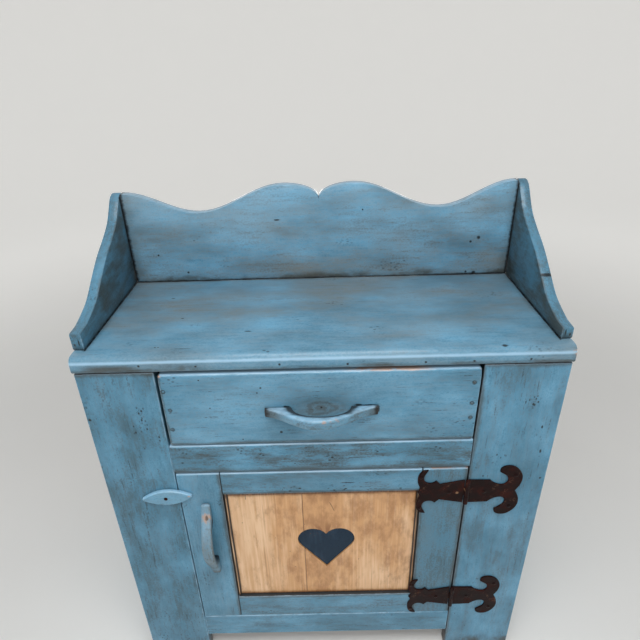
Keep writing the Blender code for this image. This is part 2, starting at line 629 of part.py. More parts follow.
def make_door(body, paint, pine, dark_blue):
    """Grooved stiles and tongued rails round two pine boards, with beads and a heart let in."""
    thick = (FACE, FRAME_BACK)
    tall = (DOOR_BOTTOM, DOOR_TOP)
    slot = (PANEL_FRONT - FIT, PANEL_BACK + FIT)
    stiles = (
        ("door_lock_stile", (DOOR_LEFT, PANEL_LEFT), PANEL_LEFT),
        ("door_hinge_stile", (PANEL_RIGHT, DOOR_RIGHT), PANEL_RIGHT),
    )
    for name, x, mouth in stiles:
        stile = board(name, x, thick, tall, paint, body, worn=WORN_ROUND)
        cut = (mouth - PANEL_GROOVE, mouth + PANEL_GROOVE)
        groove(stile, cut, slot, (DOOR_BOTTOM - PANEL_GROOVE, DOOR_TOP + PANEL_GROOVE))
    left_edge = PANEL_LEFT - PANEL_GROOVE + FIT
    right_edge = PANEL_RIGHT + PANEL_GROOVE - FIT
    flat = (PANEL_FRONT, PANEL_BACK)
    between = (PANEL_LEFT + FIT, PANEL_RIGHT - FIT)
    mouth_across = (PANEL_LEFT - PANEL_GROOVE, PANEL_RIGHT + PANEL_GROOVE)
    rails = (
        ("door_top_rail", PANEL_TOP, DOOR_TOP, 1, WORN_ROUND),
        ("door_bottom_rail", PANEL_BOTTOM, DOOR_BOTTOM, -1, 0),
    )
    for name, mouth, rim, outward, worn in rails:
        rail = board(name, between, thick, sorted((mouth, rim)), paint, body, worn=worn)
        near = mouth + outward * (PANEL_GROOVE + TONGUE_SHOULDER)
        far = rim - outward * TONGUE_SHOULDER
        tongue(rail, (left_edge, right_edge), flat, sorted((near, far)))
        groove(rail, mouth_across, slot, (mouth - PANEL_GROOVE, mouth + PANEL_GROOVE))
    panel_tall = (PANEL_BOTTOM - PANEL_GROOVE + FIT, PANEL_TOP + PANEL_GROOVE - FIT)
    boards = (
        board("panel_left_board", (left_edge, PANEL_JOINT - FIT / 2), flat, panel_tall, pine, body, edge=0),
        board("panel_right_board", (PANEL_JOINT + FIT / 2, right_edge), flat, panel_tall, pine, body, edge=0),
    )
    heart_at = ((PANEL_LEFT + PANEL_RIGHT) / 2 + HEART_SHIFT, (PANEL_BOTTOM + PANEL_TOP) / 2 + HEART_RISE)
    hole = prism("heart_hole", heart_outline(0), "Y", 3 * PANEL_THICKNESS)
    cutter = helper("heart_hole", hole, (heart_at[0], PANEL_FRONT - PANEL_THICKNESS, heart_at[1]))
    for panel in boards:
        boolean(panel, cutter, "DIFFERENCE")
    heart = prism("heart_inlay", heart_outline(FIT), "Y", HEART_SINK - PANEL_THICKNESS, HEART_EDGE)
    place("heart_inlay", heart, (heart_at[0], PANEL_BACK, heart_at[1]), dark_blue, body)
    bead_depth = (PANEL_FRONT - FIT - BEAD_DEPTH, PANEL_FRONT - FIT)
    bead_tall = (PANEL_BOTTOM + FIT, PANEL_TOP - FIT)
    board("left_bead", (PANEL_LEFT + FIT, PANEL_LEFT + BEAD_WIDTH), bead_depth, bead_tall, pine, body)
    board("right_bead", (PANEL_RIGHT - BEAD_WIDTH, PANEL_RIGHT - FIT), bead_depth, bead_tall, pine, body)


def leaf_mesh(name, side, horn, outer_knuckles):
    """A forged leaf to one side of the pin, with the knuckles that belong to it rolled on."""
    third = HINGE_HALF_HEIGHT / 3
    tab = HINGE_BORE + FIT
    clear = KNUCKLE_RADIUS + LEAF_NOTCH
    split = third + KNUCKLE_GAP / 2 if outer_knuckles else third - KNUCKLE_GAP / 2
    inner, outer = (clear, tab) if outer_knuckles else (tab, clear)
    edge = [(inner, 0), (inner, split), (outer, split), (outer, HINGE_HALF_HEIGHT)]
    half = edge + [point for stretch in horn for point in smooth(stretch)]
    outline = [(side * u, v) for u, v in mirrored(without_repeats(half))]
    plate = prism(name, outline, "Y", -LEAF_THICKNESS, LEAF_EDGE)
    if outer_knuckles:
        spans = ((split, HINGE_HALF_HEIGHT), (-HINGE_HALF_HEIGHT, -split))
    else:
        spans = ((-split, split),)
    tubes = []
    for low, high in spans:
        ring = ((HINGE_BORE, low), (KNUCKLE_RADIUS, low), (KNUCKLE_RADIUS, high), (HINGE_BORE, high))
        tube = turned("knuckle", ring, closed=True)
        tube.transform(Matrix.Translation((0, -HINGE_AXIS_OUT, 0)))
        tubes.append(tube)
    return fused(name, [plate, *tubes])


def make_hinges(door, iron):
    """Two ram's-horn hinges: a leaf on the stile, a leaf on the door and a headed pin through both."""
    half = HINGE_HALF_HEIGHT
    head = half + FIT
    tail = -half - HINGE_PIN_TAIL
    crown = head + HINGE_PIN_HEAD
    shaft = (
        (0, tail), (HINGE_PIN_RADIUS / 2, tail), (HINGE_PIN_RADIUS, -half), (HINGE_PIN_RADIUS, head),
        (HINGE_PIN_HEAD_RADIUS, head), (HINGE_PIN_HEAD_RADIUS, (head + crown) / 2),
        (HINGE_PIN_RADIUS, crown), (0, crown),
    )
    frame_leaf = leaf_mesh("hinge_frame_leaf", 1, FRAME_LEAF_HORN, True)
    door_leaf = leaf_mesh("hinge_door_leaf", -1, DOOR_LEAF_HORN, False)
    pin = turned("hinge_pin", shaft)
    levels = (("upper", RAIL_BOTTOM - HINGE_FROM_END), ("lower", SKIRT_TOP + HINGE_FROM_END))
    for level, z in levels:
        seat = (HINGE_X, FACE - FIT, z)
        place(f"{level}_hinge_frame_leaf", frame_leaf, seat, iron)
        place(f"{level}_hinge_door_leaf", door_leaf, seat, iron, door)
        place(f"{level}_hinge_pin", pin, (HINGE_X, HINGE_Y, z), iron)


def make_button(body, stile, paint, iron):
    """Lens-shaped turn button on a nail driven into the left stile."""
    half = BUTTON_LENGTH / 2

    def ring(y, long, wide):
        upper = []
        for u in steps(-1, 1, CURVE_STEPS):
            swell = BUTTON_TIP + (BUTTON_WIDTH / 2 - BUTTON_TIP) * (1 - u * u)
            upper.append((BUTTON_PIVOT_SHIFT + u * half * long, swell * wide))
        lower = [(x, -z) for x, z in reversed(upper)]
        return [(x, y, z) for x, z in upper + lower]

    rings = (
        ring(0, 1, 1),
        ring(-BUTTON_EDGE_THICKNESS, 1, 1),
        ring(-BUTTON_THICKNESS, BUTTON_CROWN_LONG_SHARE, BUTTON_CROWN_WIDE_SHARE),
    )
    pivot = (BUTTON_X, BUTTON_BACK, BUTTON_Z)
    tilt = (0, -math.radians(BUTTON_TILT), 0)
    button = place("turn_button", loft("turn_button", rings), pivot, paint, body, tilt)
    out = math.radians(90)
    head = BUTTON_THICKNESS + FIT
    under = BUTTON_CLEARANCE + NAIL_DEPTH
    shank = (
        (0, -under), (NAIL_RADIUS / 2, -under), (NAIL_RADIUS, NAIL_RADIUS - under), (NAIL_RADIUS, head),
        (NAIL_HEAD_RADIUS, head), (NAIL_HEAD_RADIUS / 2, head + NAIL_HEAD), (0, head + NAIL_HEAD),
    )
    place("turn_button_nail", turned("turn_button_nail", shank), pivot, iron, turn=(out, 0, 0))
    bore = NAIL_RADIUS + FIT
    drill = turned("nail_hole", ((0, -under - FIT), (bore, -under - FIT), (bore, 2 * head), (0, 2 * head)))
    hole = helper("nail_hole", drill, pivot, turn=(out, 0, 0))
    boolean(stile, hole, "DIFFERENCE")
    boolean(button, hole, "DIFFERENCE")


def main():
    clear_scene()
    paint = finish("blue_milk_paint", (0.115, 0.282, 0.429), 0.45)
    wood = finish("aged_bare_wood", (0.31, 0.19, 0.10), 0.7)
    pine = finish("honey_pine", (0.53, 0.33, 0.18), 0.5)
    dark_blue = finish("dark_slate_blue", (0.030, 0.048, 0.075), 0.45)
    iron = finish("forged_iron", (0.028, 0.018, 0.014), 0.55, 0.8)
    drawer = moving_body("drawer_slide", (0, FACE, DRAWER_BASE))
    door = moving_body("door_swing", (HINGE_X, HINGE_Y, 0))
    button = moving_body("button_turn", (BUTTON_X, BUTTON_BACK, BUTTON_Z))
    make_sides(paint)
    left_stile = make_face_frame(paint)
    make_top(paint)
    make_back(wood)
    make_inside(wood)
    make_gallery(paint)
    make_drawer(drawer, paint, wood)
    make_handles(drawer, door, paint)
    make_door(door, paint, pine, dark_blue)
    make_hinges(door, iron)
    make_button(button, left_stile, paint, iron)


main()
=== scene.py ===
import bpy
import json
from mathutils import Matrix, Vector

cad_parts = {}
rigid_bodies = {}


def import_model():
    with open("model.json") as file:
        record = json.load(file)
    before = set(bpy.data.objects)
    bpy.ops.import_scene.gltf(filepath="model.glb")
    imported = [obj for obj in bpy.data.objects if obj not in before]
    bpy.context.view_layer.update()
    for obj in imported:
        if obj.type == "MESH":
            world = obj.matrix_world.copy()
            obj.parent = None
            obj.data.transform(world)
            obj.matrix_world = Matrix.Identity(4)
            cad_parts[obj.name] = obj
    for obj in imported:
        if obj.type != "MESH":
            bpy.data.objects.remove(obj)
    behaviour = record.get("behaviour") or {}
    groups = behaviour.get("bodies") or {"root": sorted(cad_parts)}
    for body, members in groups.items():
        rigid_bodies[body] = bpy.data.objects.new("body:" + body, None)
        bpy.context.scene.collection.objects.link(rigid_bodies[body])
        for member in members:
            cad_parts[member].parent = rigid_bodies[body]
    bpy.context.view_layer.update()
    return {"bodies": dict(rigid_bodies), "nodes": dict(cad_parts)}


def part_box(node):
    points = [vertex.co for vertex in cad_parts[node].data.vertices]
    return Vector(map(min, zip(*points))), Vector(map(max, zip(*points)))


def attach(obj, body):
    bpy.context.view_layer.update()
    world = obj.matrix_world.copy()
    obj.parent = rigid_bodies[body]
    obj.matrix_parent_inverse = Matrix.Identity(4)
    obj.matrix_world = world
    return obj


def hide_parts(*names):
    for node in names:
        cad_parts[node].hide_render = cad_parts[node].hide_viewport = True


bl_info = {
    "name": "Milk cupboard",
    "version": (1, 0, 0),
    "blender": (4, 5, 0),
    "location": "3D View > Sidebar > Cupboard",
    "description": "Gives the milk cupboard its paint, pine, iron and nails, and sets the stage",
    "category": "Object",
}

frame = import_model()

import functools
import json
import math

import bpy
from bpy.props import FloatProperty, FloatVectorProperty, PointerProperty
from bpy.types import Operator, Panel, PropertyGroup
from mathutils import Matrix, Vector

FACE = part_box("left_face_stile")[0].y
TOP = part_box("top_board")[1].z
GALLERY_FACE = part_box("gallery_back")[0].y
SHORT_FADE = 0.003  # length over which a mark fades out at the end of its stretch
SMOOTH_ANGLE = 32  # degrees up to which a wooden edge is shaded round


# ---- what a user may change

def colour(name, description, *levels):
    """A colour whose default is given as levels of 0 to 255, as seen on a screen."""
    shown = [level / 255 for level in levels]
    linear = [each / 12.92 if each <= 0.04045 else ((each + 0.055) / 1.055) ** 2.4 for each in shown]
    return FloatVectorProperty(
        name=name, description=description, subtype="COLOR", size=3, min=0, max=1, default=linear
    )


def share(name, description, default):
    return FloatProperty(name=name, description=description, subtype="FACTOR", min=0, max=1, default=default)


def length(name, description, default):
    return FloatProperty(
        name=name, description=description, subtype="DISTANCE", unit="LENGTH", min=0, default=default,
        precision=4,
    )


class CupboardColours(PropertyGroup):
    """Colours of the paint, the woods and the iron."""

    blue: colour("Blue", "Clean milk paint", 90, 149, 180)
    deep_blue: colour("Deep blue", "Milk paint in darker clouds", 71, 126, 153)
    pale_blue: colour("Pale blue", "Milk paint, thin or rubbed", 111, 169, 201)
    # Pale paint where the edges wear; its tone is a highlight's, so on the top edges and on what faces up it
    # is also a painted highlight.
    rubbed_and_highlight: colour("Rubbed paint", "Paint worn bright on an edge", 164, 201, 226)
    wax: colour("Wax", "Dark wax rubbed over the paint", 48, 66, 70)
    brown: colour("Brown wax", "Brown wax in corners and on the rail", 62, 58, 46)
    dust: colour("Dusty wax", "Old dull wax on the top and the gallery", 119, 113, 100)
    # Dark wax in joints, pores and holes; also laid as painted shade in a finger gap's rim, round the drawer
    # handle's feet, under the top's front edge and under the door's top rail.
    grime_and_shade: colour("Grime", "Dark wax in joints, pores and holes", 20, 18, 16)
    bare: colour("Bare wood", "Wood where the paint has gone", 182, 140, 108)
    inside: colour("Old wood", "Unpainted wood", 142, 104, 72)
    inside_dark: colour("Old wood grain", "Dark grain of unpainted wood", 98, 68, 46)
    pine: colour("Pine", "Honey pine of the panel", 236, 198, 158)
    pine_warm: colour("Warm pine", "Darker streaks of the panel", 208, 158, 108)
    pine_brown: colour("Pine stain", "Brown mottling of the panel", 143, 93, 50)
    heart: colour("Heart", "Slate blue of the heart", 25, 46, 64)
    heart_pale: colour("Heart, worn", "The heart where it is rubbed", 51, 72, 93)
    iron: colour("Iron", "Brown-black wrought iron", 29, 11, 10)
    rust: colour("Rust", "Rust on the iron", 68, 27, 19)
    floor: colour("Floor", "Floor and backdrop", 226, 225, 222)


class CupboardWear(PropertyGroup):
    """How far the finish is aged."""

    wax: share("Wax", "Strength of the wax smears", 0.95)
    pits: share("Pits", "Strength of the pores and worm holes", 0.9)
    edges: length("Worn edge", "Reach of the wear along a board's edges", 0.004)
    joints: length("Joint grime", "Reach of the dark wax beside a joint", 0.007)


class CupboardNails(PropertyGroup):
    """Nails of the drawer front and the hinges."""

    drawer: length("Drawer nail", "Diameter of the nail heads in the drawer front", 0.0046)
    hinge: length("Hinge nail", "Diameter of the nail heads in the hinges", 0.0075)
    rise: length("Head height", "How far a nail head stands out", 0.0011)


# ---- where the marks are

# Nests of worm holes in the front: rows of (x, height above the top, reach).
WORMS = {
    "left_face_stile": (
        (-0.288, -0.098, 0.014), (-0.29, -0.115, 0.014), (-0.3, -0.134, 0.012),
        (-0.282, -0.132, 0.01), (-0.271, -0.157, 0.013), (-0.295, -0.178, 0.008),
    ),
    "right_face_stile": (
        (0.323, -0.099, 0.016), (0.334, -0.095, 0.012), (0.288, -0.181, 0.012),
        (0.289, -0.213, 0.016), (0.264, -0.253, 0.01),
    ),
    "drawer_rail": (
        (-0.236, -0.187, 0.01), (-0.235, -0.208, 0.012), (-0.136, -0.187, 0.012), (-0.107, -0.194, 0.014),
        (0.009, -0.203, 0.012), (0.091, -0.19, 0.01), (0.19, -0.187, 0.01),
    ),
    "door_lock_stile": ((-0.187, -0.2975, 0.012), (-0.2515, -0.308, 0.01)),
    "door_top_rail": (
        (-0.067, -0.272, 0.012), (-0.048, -0.275, 0.012), (0.013, -0.274, 0.014),
        (0.0335, -0.2725, 0.012), (0.0765, -0.274, 0.01), (0.134, -0.2715, 0.012),
    ),
}
# Holes in upright faces: rows of (x, height above the top, radius), with the axis and length of a crack.
HOLES = {
    "left_face_stile": ((-0.371, -0.114, 0.003),),
    "right_face_stile": (
        (0.367, -0.26, 0.0025), (0.351, -0.149, 0.0018, "Z", 0.008), (0.357, -0.2, 0.002, "Z", 0.01),
    ),
    "top_nose": (
        (-0.275, -0.0155, 0.0022), (-0.19, -0.018, 0.0022), (-0.064, -0.018, 0.0022), (0.038, -0.02, 0.0022),
        (0.155, -0.02, 0.0022), (0.2275, -0.02, 0.0022), (0.312, -0.019, 0.0022),
    ),
    "gallery_back": (
        (-0.31, 0.055, 0.0022), (-0.2576, 0.0184, 0.0026), (0.2865, 0.067, 0.0026), (0.3008, 0.0746, 0.0038),
        (0.2836, 0.0057, 0.0026), (0.299, 0.0035, 0.0042), (0.0804, 0.1343, 0.0018),
        (-0.0785, 0.1187, 0.0019, "X", 0.013),
    ),
    "drawer_front": (
        (-0.069, -0.147, 0.0028), (-0.132, -0.16, 0.0016), (-0.189, -0.043, 0.0015),
        (-0.096, -0.06, 0.002), (-0.102, -0.069, 0.0015), (-0.178, -0.096, 0.0014),
    ),
    "door_top_rail": ((0.039, -0.261, 0.0012, "X", 0.03),),
}
# Dents in the top's surface: rows of (x, distance behind the front boards' face, radius, length).
TOP_DENTS = (
    (-0.2704, 0.2038, 0.0018, 0.008), (-0.2351, 0.1229, 0.0016, 0.006), (-0.118, 0.0726, 0.0018, 0.014),
    (-0.2554, 0.0284, 0.0014, 0.003), (-0.2507, 0.0282, 0.0014, 0.003), (-0.215, 0.0225, 0.0009, 0.034),
    (-0.112, -0.006, 0.002, 0.004), (0.273, 0.01, 0.0032, 0.011),
)
# Nails: (x, height above the top) in the drawer, (out from the pin, up from its middle) in a hinge leaf.
DRAWER_NAILS = (
    (-0.246, -0.063), (-0.241, -0.099), (-0.243, -0.137), (0.232, -0.059), (0.2325, -0.098), (0.233, -0.126),
)
HINGE_NAILS = ((0.0805, 0.036), (0.0785, -0.036), (0.03, 0.0))
# Pale spots on the upper hinge: bare iron and painted glints.
HINGE_SCRAPES_AND_GLINTS = ((-0.016, -0.001), (-0.0025, 0.0065))  # x from the upper hinge's pin, up from its middle


def marks(table, name, face):
    """A piece's rows in a table of marks, as rows of (point on its face, size)."""
    return [((x, face, TOP + z), *size) for x, z, *size in table.get(name, ())]


# ---- finishes

def math_node(operation, swapped=False):
    """A method of Field that adds a Math node, with its two values swapped if need be."""
    def method(self, other=0.5):
        values = {0: other, 1: self} if swapped else {0: self, 1: other}
        return self.finish.node("ShaderNodeMath", {"operation": operation}, values)
    return method


class Field:
    """A value that changes over a surface. Sums with it add Math nodes."""

    __add__, __radd__ = math_node("ADD"), math_node("ADD", True)
    __sub__, __rsub__ = math_node("SUBTRACT"), math_node("SUBTRACT", True)
    __mul__, __truediv__ = math_node("MULTIPLY"), math_node("DIVIDE")
    __abs__, wave = math_node("ABSOLUTE"), math_node("SINE")
    least, most = math_node("MINIMUM"), math_node("MAXIMUM")

    def __init__(self, finish, socket):
        self.finish = finish
        self.socket = socket

    def most_of(self, masks):
        """This or the strongest of some other masks, at each place."""
        return functools.reduce(Field.most, masks, self)

    def rise(self, low, high):
        """0 up to low, 1 from high on."""
        return self.finish.node(
            "ShaderNodeMapRange", {"interpolation_type": "SMOOTHSTEP"},
            {"Value": self, "From Min": low, "From Max": high},
        )

    def fall(self, low, high):
        return 1 - self.rise(low, high)


def squeezed(along, share):
    """A scale of 1 on each axis, and of a share on one of them."""
    return tuple(share if axis == along else 1 for axis in "XYZ")


class Finish:
    """A material on Object coordinates. Its colours are laid one over the other, on the ground colour."""

    def __init__(self, name, ground):
        self.look = bpy.context.scene.cupboard_colours
        self.base = getattr(self.look, ground)
        self.material = bpy.data.materials.new(name)
        self.material.use_nodes = True
        self.tree = self.material.node_tree
        self.shader = self.tree.nodes["Principled BSDF"]
        self.place = self.node("ShaderNodeTexCoord", output="Object")
        split = self.node("ShaderNodeSeparateXYZ", inputs={0: self.place}).socket.node
        self.axes = {axis: Field(self, split.outputs[axis]) for axis in "XYZ"}

    def node(self, kind, settings=None, inputs=None, output=0):
        made = self.tree.nodes.new(kind)
        for key, value in (settings or {}).items():
            setattr(made, key, value)
        for key, value in (inputs or {}).items():
            self.feed(made.inputs[key], value)
        return Field(self, made.outputs[output])

    def feed(self, socket, value):
        if isinstance(value, Field):
            self.tree.links.new(value.socket, socket)
        elif socket.type == "RGBA":
            socket.default_value = (*value, 1)
        else:
            socket.default_value = value

    def stretched(self, grain, squeeze, seed):
        """Places drawn out along the grain: a squeeze of 0.1 makes marks ten times as long as wide."""
        shift = (seed * 1.37, seed * 0.71, seed * 2.13)
        inputs = {"Vector": self.place, "Location": shift, "Scale": squeezed(grain, squeeze)}
        return self.node("ShaderNodeMapping", inputs=inputs)

    def noise(self, place, scale, detail=2, rough=0.5, twist=0):
        return self.node("ShaderNodeTexNoise", inputs={
            "Vector": place, "Scale": scale, "Detail": detail, "Roughness": rough, "Distortion": twist,
        })

    def grained(self, grain, squeeze, seed, *settings):
        """A noise drawn out along the grain."""
        return self.noise(self.stretched(grain, squeeze, seed), *settings)

    def ramp(self, value, stops):
        """Takes the ground colour from stops of {value: colour}."""
        tint = self.node("ShaderNodeValToRGB", inputs={0: value})
        places = tint.socket.node.color_ramp.elements
        while len(places) < len(stops):
            places.new(1)
        for place, (at, shown) in zip(places, stops.items()):
            place.position, place.color = at, (*getattr(self.look, shown), 1)
        self.base = tint

    def blend(self, under, over, cover):
        return self.node("ShaderNodeMix", {"data_type": "RGBA"}, {0: cover, 6: under, 7: over}, 2)

    def lay(self, tint, cover):
        """Lays a colour over those before it, as far as its mask covers."""
        self.base = self.blend(self.base, getattr(self.look, tint), cover)

    def away(self, point, stretch=(1, 1, 1)):
        """Distance from a point, with each direction weighed by stretch."""
        gap = self.node("ShaderNodeVectorMath", {"operation": "SUBTRACT"}, {0: self.place, 1: point})
        if stretch != (1, 1, 1):
            gap = self.node("ShaderNodeVectorMath", {"operation": "MULTIPLY"}, {0: gap, 1: stretch})
        return self.node("ShaderNodeVectorMath", {"operation": "LENGTH"}, {0: gap}, "Value")

    def beside(self, axis, at, reach, ragged, stretches=()):
        """1 where axis is at, 0 beyond reach, ragged between, within stretches (axis, from, to, fade)."""
        gap = abs(self.axes[axis] - at) / reach
        mask = (1 - gap + (ragged - 0.5) * 1.2).rise(0.15, 0.9)
        for stretch in stretches:
            across, low, high, fade = (*stretch, SHORT_FADE)[:4]
            place = self.axes[across]
            mask = mask * place.rise(low - fade, low) * place.fall(high, high + fade)
        return mask

    def edge(self, box):
        """Distance on a board's surface from the nearest of its box's edges."""
        first, second, third = (
            (self.axes[axis] - low).least(high - self.axes[axis]) for axis, low, high in zip("XYZ", *box)
        )
        return first.least(second).most(first.most(second).least(third))

    def pores(self, grain, seed, scale, size, kept):
        """Small round pits, scattered: about kept of the cells have one."""
        where = self.stretched(grain, 0.6, seed)
        cell = self.node("ShaderNodeTexVoronoi", {}, {"Vector": where, "Scale": scale}, "Distance")
        tint = Field(self, cell.socket.node.outputs["Color"])
        pick = self.node("ShaderNodeSeparateColor", inputs={0: tint})
        return cell.fall(size * 0.4, size) * pick.rise(1 - kept, 1 - kept + 0.04)

    def done(self, rough, height, depth, strength, metal=0.0, coat=0.0, **constants):
        varying = {"Base Color": self.base, "Roughness": rough, "Metallic": metal, "Coat Weight": coat}
        for key, value in varying.items():
            self.feed(self.shader.inputs[key], value)
        bump = self.node("ShaderNodeBump", {}, {"Strength": strength, "Distance": depth, "Height": height})
        self.feed(self.shader.inputs["Normal"], bump)
        for key, value in constants.items():
            self.shader.inputs[key.replace("_", " ")].default_value = value
        return self.material


class MilkPaint(Finish):
    """Milk paint under wax. Its masks share the noises that are made first."""

    def __init__(self, name, grain, seed, stain_scale):
        super().__init__(name, "blue")
        self.grain = grain
        self.seed = seed
        self.clouds = self.layer(0.55, 0, 14, 4, 0.6)
        self.pools = self.layer(0.5, 5, 24, 6, 0.66)
        self.film = self.layer(0.3, 11, stain_scale, 5, 0.62)
        self.brush = self.layer(0.1, 2, 190, 4, 0.66)
        self.scrub = self.layer(0.7, 3, 360, 3, 0.65)
        self.ragged = self.layer(0.45, 7, 120, 4, 0.66)
        self.fine = (self.brush - 0.5) * 0.75 + (self.scrub - 0.5) * 0.75
        self.rubs = (self.pools + self.fine).rise(0.36, 0.74)

    def layer(self, squeeze, step, *settings):
        return self.grained(self.grain, squeeze, self.seed + step, *settings)

    def along(self, rows, border, strength, widen=1.0):
        """Masks beside the planes of some rows of (axis, place, reach, stretches)."""
        return [
            self.beside(axis, at, reach * widen, border, within) * strength
            for axis, at, reach, *within in rows
        ]

    def coats(self, wax, haze, glow, veil):
        """Lays the paint and thin wax and dust over it. Gives the mask of the wax."""
        self.ramp(self.clouds + self.fine + glow, {0.3: "deep_blue", 0.5: "blue", 0.7: "pale_blue"})
        dull = self.layer(0.4, 13, 15, 6, 0.66)
        mist = self.rubs * wax
        dust = (dull + self.fine * 0.5).rise(0.12, 0.9) * veil
        if haze:
            axis, thin, full, least = haze
            place = self.axes[axis]
            near = place.rise(thin, full) if thin < full else place.fall(full, thin)
            near = near * (1 - least) + least
            mist, dust = mist * near, dust * near
        self.lay("wax", mist)
        self.lay("dust", dust)
        return mist

    def stains(self, brown, smudges, joints, corner):
        """Brown wax: in clouds, in the smudges and in the corners beside the joints."""
        strength, _, start, full = brown
        patchy = self.pools.rise(0.36, 0.62) * 0.6 + 0.2
        stain = (self.film + self.fine * 0.5).rise(start, full) * strength
        stain = stain.most_of(self.along(smudges, self.pools, patchy))
        return stain.most_of(self.along(joints, self.pools, corner, 3.5))

    def scratched(self, scratches):
        """Dark scratches along the grain, where the wax is."""
        lines = self.layer(0.05, 4, 330, 3, 0.6).rise(0.56, 0.7)
        return lines * self.rubs.rise(0.15, 0.8) * scratches

    def eaten(self, nests, pits):
        """Worm holes and their trails, crowded in the nests, and a few pores elsewhere."""
        nest = self.layer(0.7, 8, 17, 2, 0.5).rise(0.62, 0.72) * 0.6
        nest = nest.most_of(
            (1.2 - self.away(point) / reach + (self.pools - 0.5) * 1.6).rise(0.2, 0.8)
            for point, reach in nests
        )
        trails = abs(self.layer(0.8, 9, 75, 2) - 0.5).fall(0.006, 0.016)
        trails = trails * self.ragged.rise(0.45, 0.6) * 0.7
        crowded = self.pores(self.grain, self.seed, 200, 0.42, 0.9).most(trails) * nest
        return crowded.most(self.pores(self.grain, self.seed + 1, 80, 0.12, 0.08) * pits)

    def packed_wax_and_shade(self, joints, hollow):
        """Dark wax in the joints, and a dark rim round a finger gap: painted shade with grime."""
        packed_wax_and_shade = (self.ragged * 0).most_of(self.along(joints, self.ragged, 0.97, 0.8))
        if hollow:
            rim = self.away(*hollow) + (self.ragged - 0.5) * 0.2
            packed_wax_and_shade = packed_wax_and_shade.most(rim.fall(1.14, 1.36) * 0.95)
        return packed_wax_and_shade

    def worn_and_highlight(self, box, reach, rubbed_and_highlight, upper_wear_and_highlight):
        """Pale paint along the board's edges and in the rubbed_and_highlight rows, and on what faces up: wear
        with a painted highlight.
        """
        even = 0.5 + (self.ragged - 0.5) * 0.4
        worn_and_highlight = (1 - self.edge(box) / reach + (self.ragged - 0.5) * 1.8).rise(0.35, 1.1) * 0.45
        worn_and_highlight = worn_and_highlight.most_of(self.along(rubbed_and_highlight, even, 0.75))
        # What faces up is made paler: painted highlight, with wear.
        if upper_wear_and_highlight:
            normal = self.node("ShaderNodeNewGeometry", output="Normal")
            upward = self.node("ShaderNodeSeparateXYZ", inputs={0: normal}, output="Z")
            worn_and_highlight = worn_and_highlight.most(upward.rise(0.15, 0.9) * (self.ragged * 1.6 - 0.25).most(0) * upper_wear_and_highlight)
        return worn_and_highlight

    def bared(self, bare, spots):
        """Patches where the paint has gone."""
        patches = self.along(bare, self.ragged, self.pools.rise(0.42, 0.54))
        patches += [
            (1 - self.away(point) / radius + (self.ragged - 0.5) * 2.6).rise(0.35, 0.95)
            for point, radius in spots
        ]
        return patches

    def hole(self, point, radius, axis="", length=1.0, dark=0.9):
        """A hole, or a crack of some length along an axis, and how dark it is."""
        gap = self.away(point, squeezed(axis, 2 * radius / length)) + (self.scrub - 0.5) * radius
        return gap.fall(radius * 0.5, radius * 1.1), dark

    def knot(self, point, radius):
        """Lays the brown rings and the black heart of a knot."""
        gap = self.away(point, squeezed(self.grain, 0.55)) / radius
        gap = gap + (self.pools - 0.5) * 1.3 + (self.scrub - 0.5) * 0.5
        self.lay("brown", gap.fall(0.25, 1.25) * ((gap * 16).wave() * 0.22 + 0.46))
        middle = self.away(point) / radius + (self.scrub - 0.5) * 0.04
        self.lay("grime_and_shade", middle.fall(0.05, 0.11))


def painted(
    name, grain, seed, *, box=None, wax=0.4, brown=(0.15, 13, 0.44, 0.74), haze=None, joints=(),
    smudges=(), rubbed_and_highlight=(), bare=(), holes=(), knots=(), spots=(), hollow=None, pits=0.5, upper_wear_and_highlight=0.0,
    glow=0.0, corner=0.7, veil=0.15, scratches=0.5,
):
    """The finish of a painted board, with its rows of WORMS and HOLES.

    wax, veil, pits, scratches, upper_wear_and_highlight: strength of wax, dust, pores, scratches and of wear
    with painted highlight on what faces up
    brown: brown wax, as (strength, fineness, where stains start, where they are full), corner in the joints
    haze: where wax and dust get thin, as (axis, place where thin, place where full, least share)
    glow: how much paler than most the paint is; on the gallery and the hinge stile it is painted light and
    shade joints, smudges, rubbed_and_highlight, bare: rows of (axis, place, reach, stretches); the
    rubbed_and_highlight rows are wear with a painted highlight
    holes: rows as MilkPaint.hole takes them, knots, spots (bare ones): rows of (point, radius)
    hollow: (middle, reciprocal radii) of a finger gap, whose dark rim is painted shade with grime
    """
    wear = bpy.context.scene.cupboard_wear
    paint = MilkPaint(name, grain, seed, brown[1])
    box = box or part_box(name)
    mist = paint.coats(wax * wear.wax, haze, glow, veil)
    paint.lay("brown", paint.stains(brown, smudges, joints, corner))
    pit = paint.eaten(marks(WORMS, name, box[0].y), pits) * wear.pits
    # Dark joints, pits and scratches, with painted shade in the rim of a finger gap and along some joints.
    packed_wax_and_shade = paint.packed_wax_and_shade(joints, hollow)
    grime_and_shade = paint.scratched(scratches).most(pit).most(packed_wax_and_shade)
    paint.lay("grime_and_shade", grime_and_shade)
    worn_and_highlight = paint.worn_and_highlight(box, wear.edges, rubbed_and_highlight, upper_wear_and_highlight) * (1 - packed_wax_and_shade)
    paint.lay("rubbed_and_highlight", worn_and_highlight)
    patches = paint.bared(bare, spots)
    if patches:
        paint.lay("bare", patches[0].most_of(patches[1:]) * 0.75)
    for row in (*marks(HOLES, name, box[0].y), *holes):
        hole, dark = paint.hole(*row)
        pit = pit.most(hole)
        paint.lay("grime_and_shade", hole * dark)
    for knot in knots:
        paint.knot(*knot)
    rough = 0.4 + (paint.brush - 0.5) * 0.25 + mist * 0.06 + (paint.scrub - 0.5) * 0.15
    strokes = paint.brush * 0.45 + paint.scrub * 0.25 + paint.ragged * 0.2 + paint.pools * 0.2
    height = strokes - pit * 0.8 - grime_and_shade * 0.3 - worn_and_highlight * 0.15
    gloss = 0.25 + worn_and_highlight * 0.75
    return paint.done(rough, height, 0.0006, 0.5, coat=gloss, Specular_IOR_Level=0.3, Coat_Roughness=0.15)


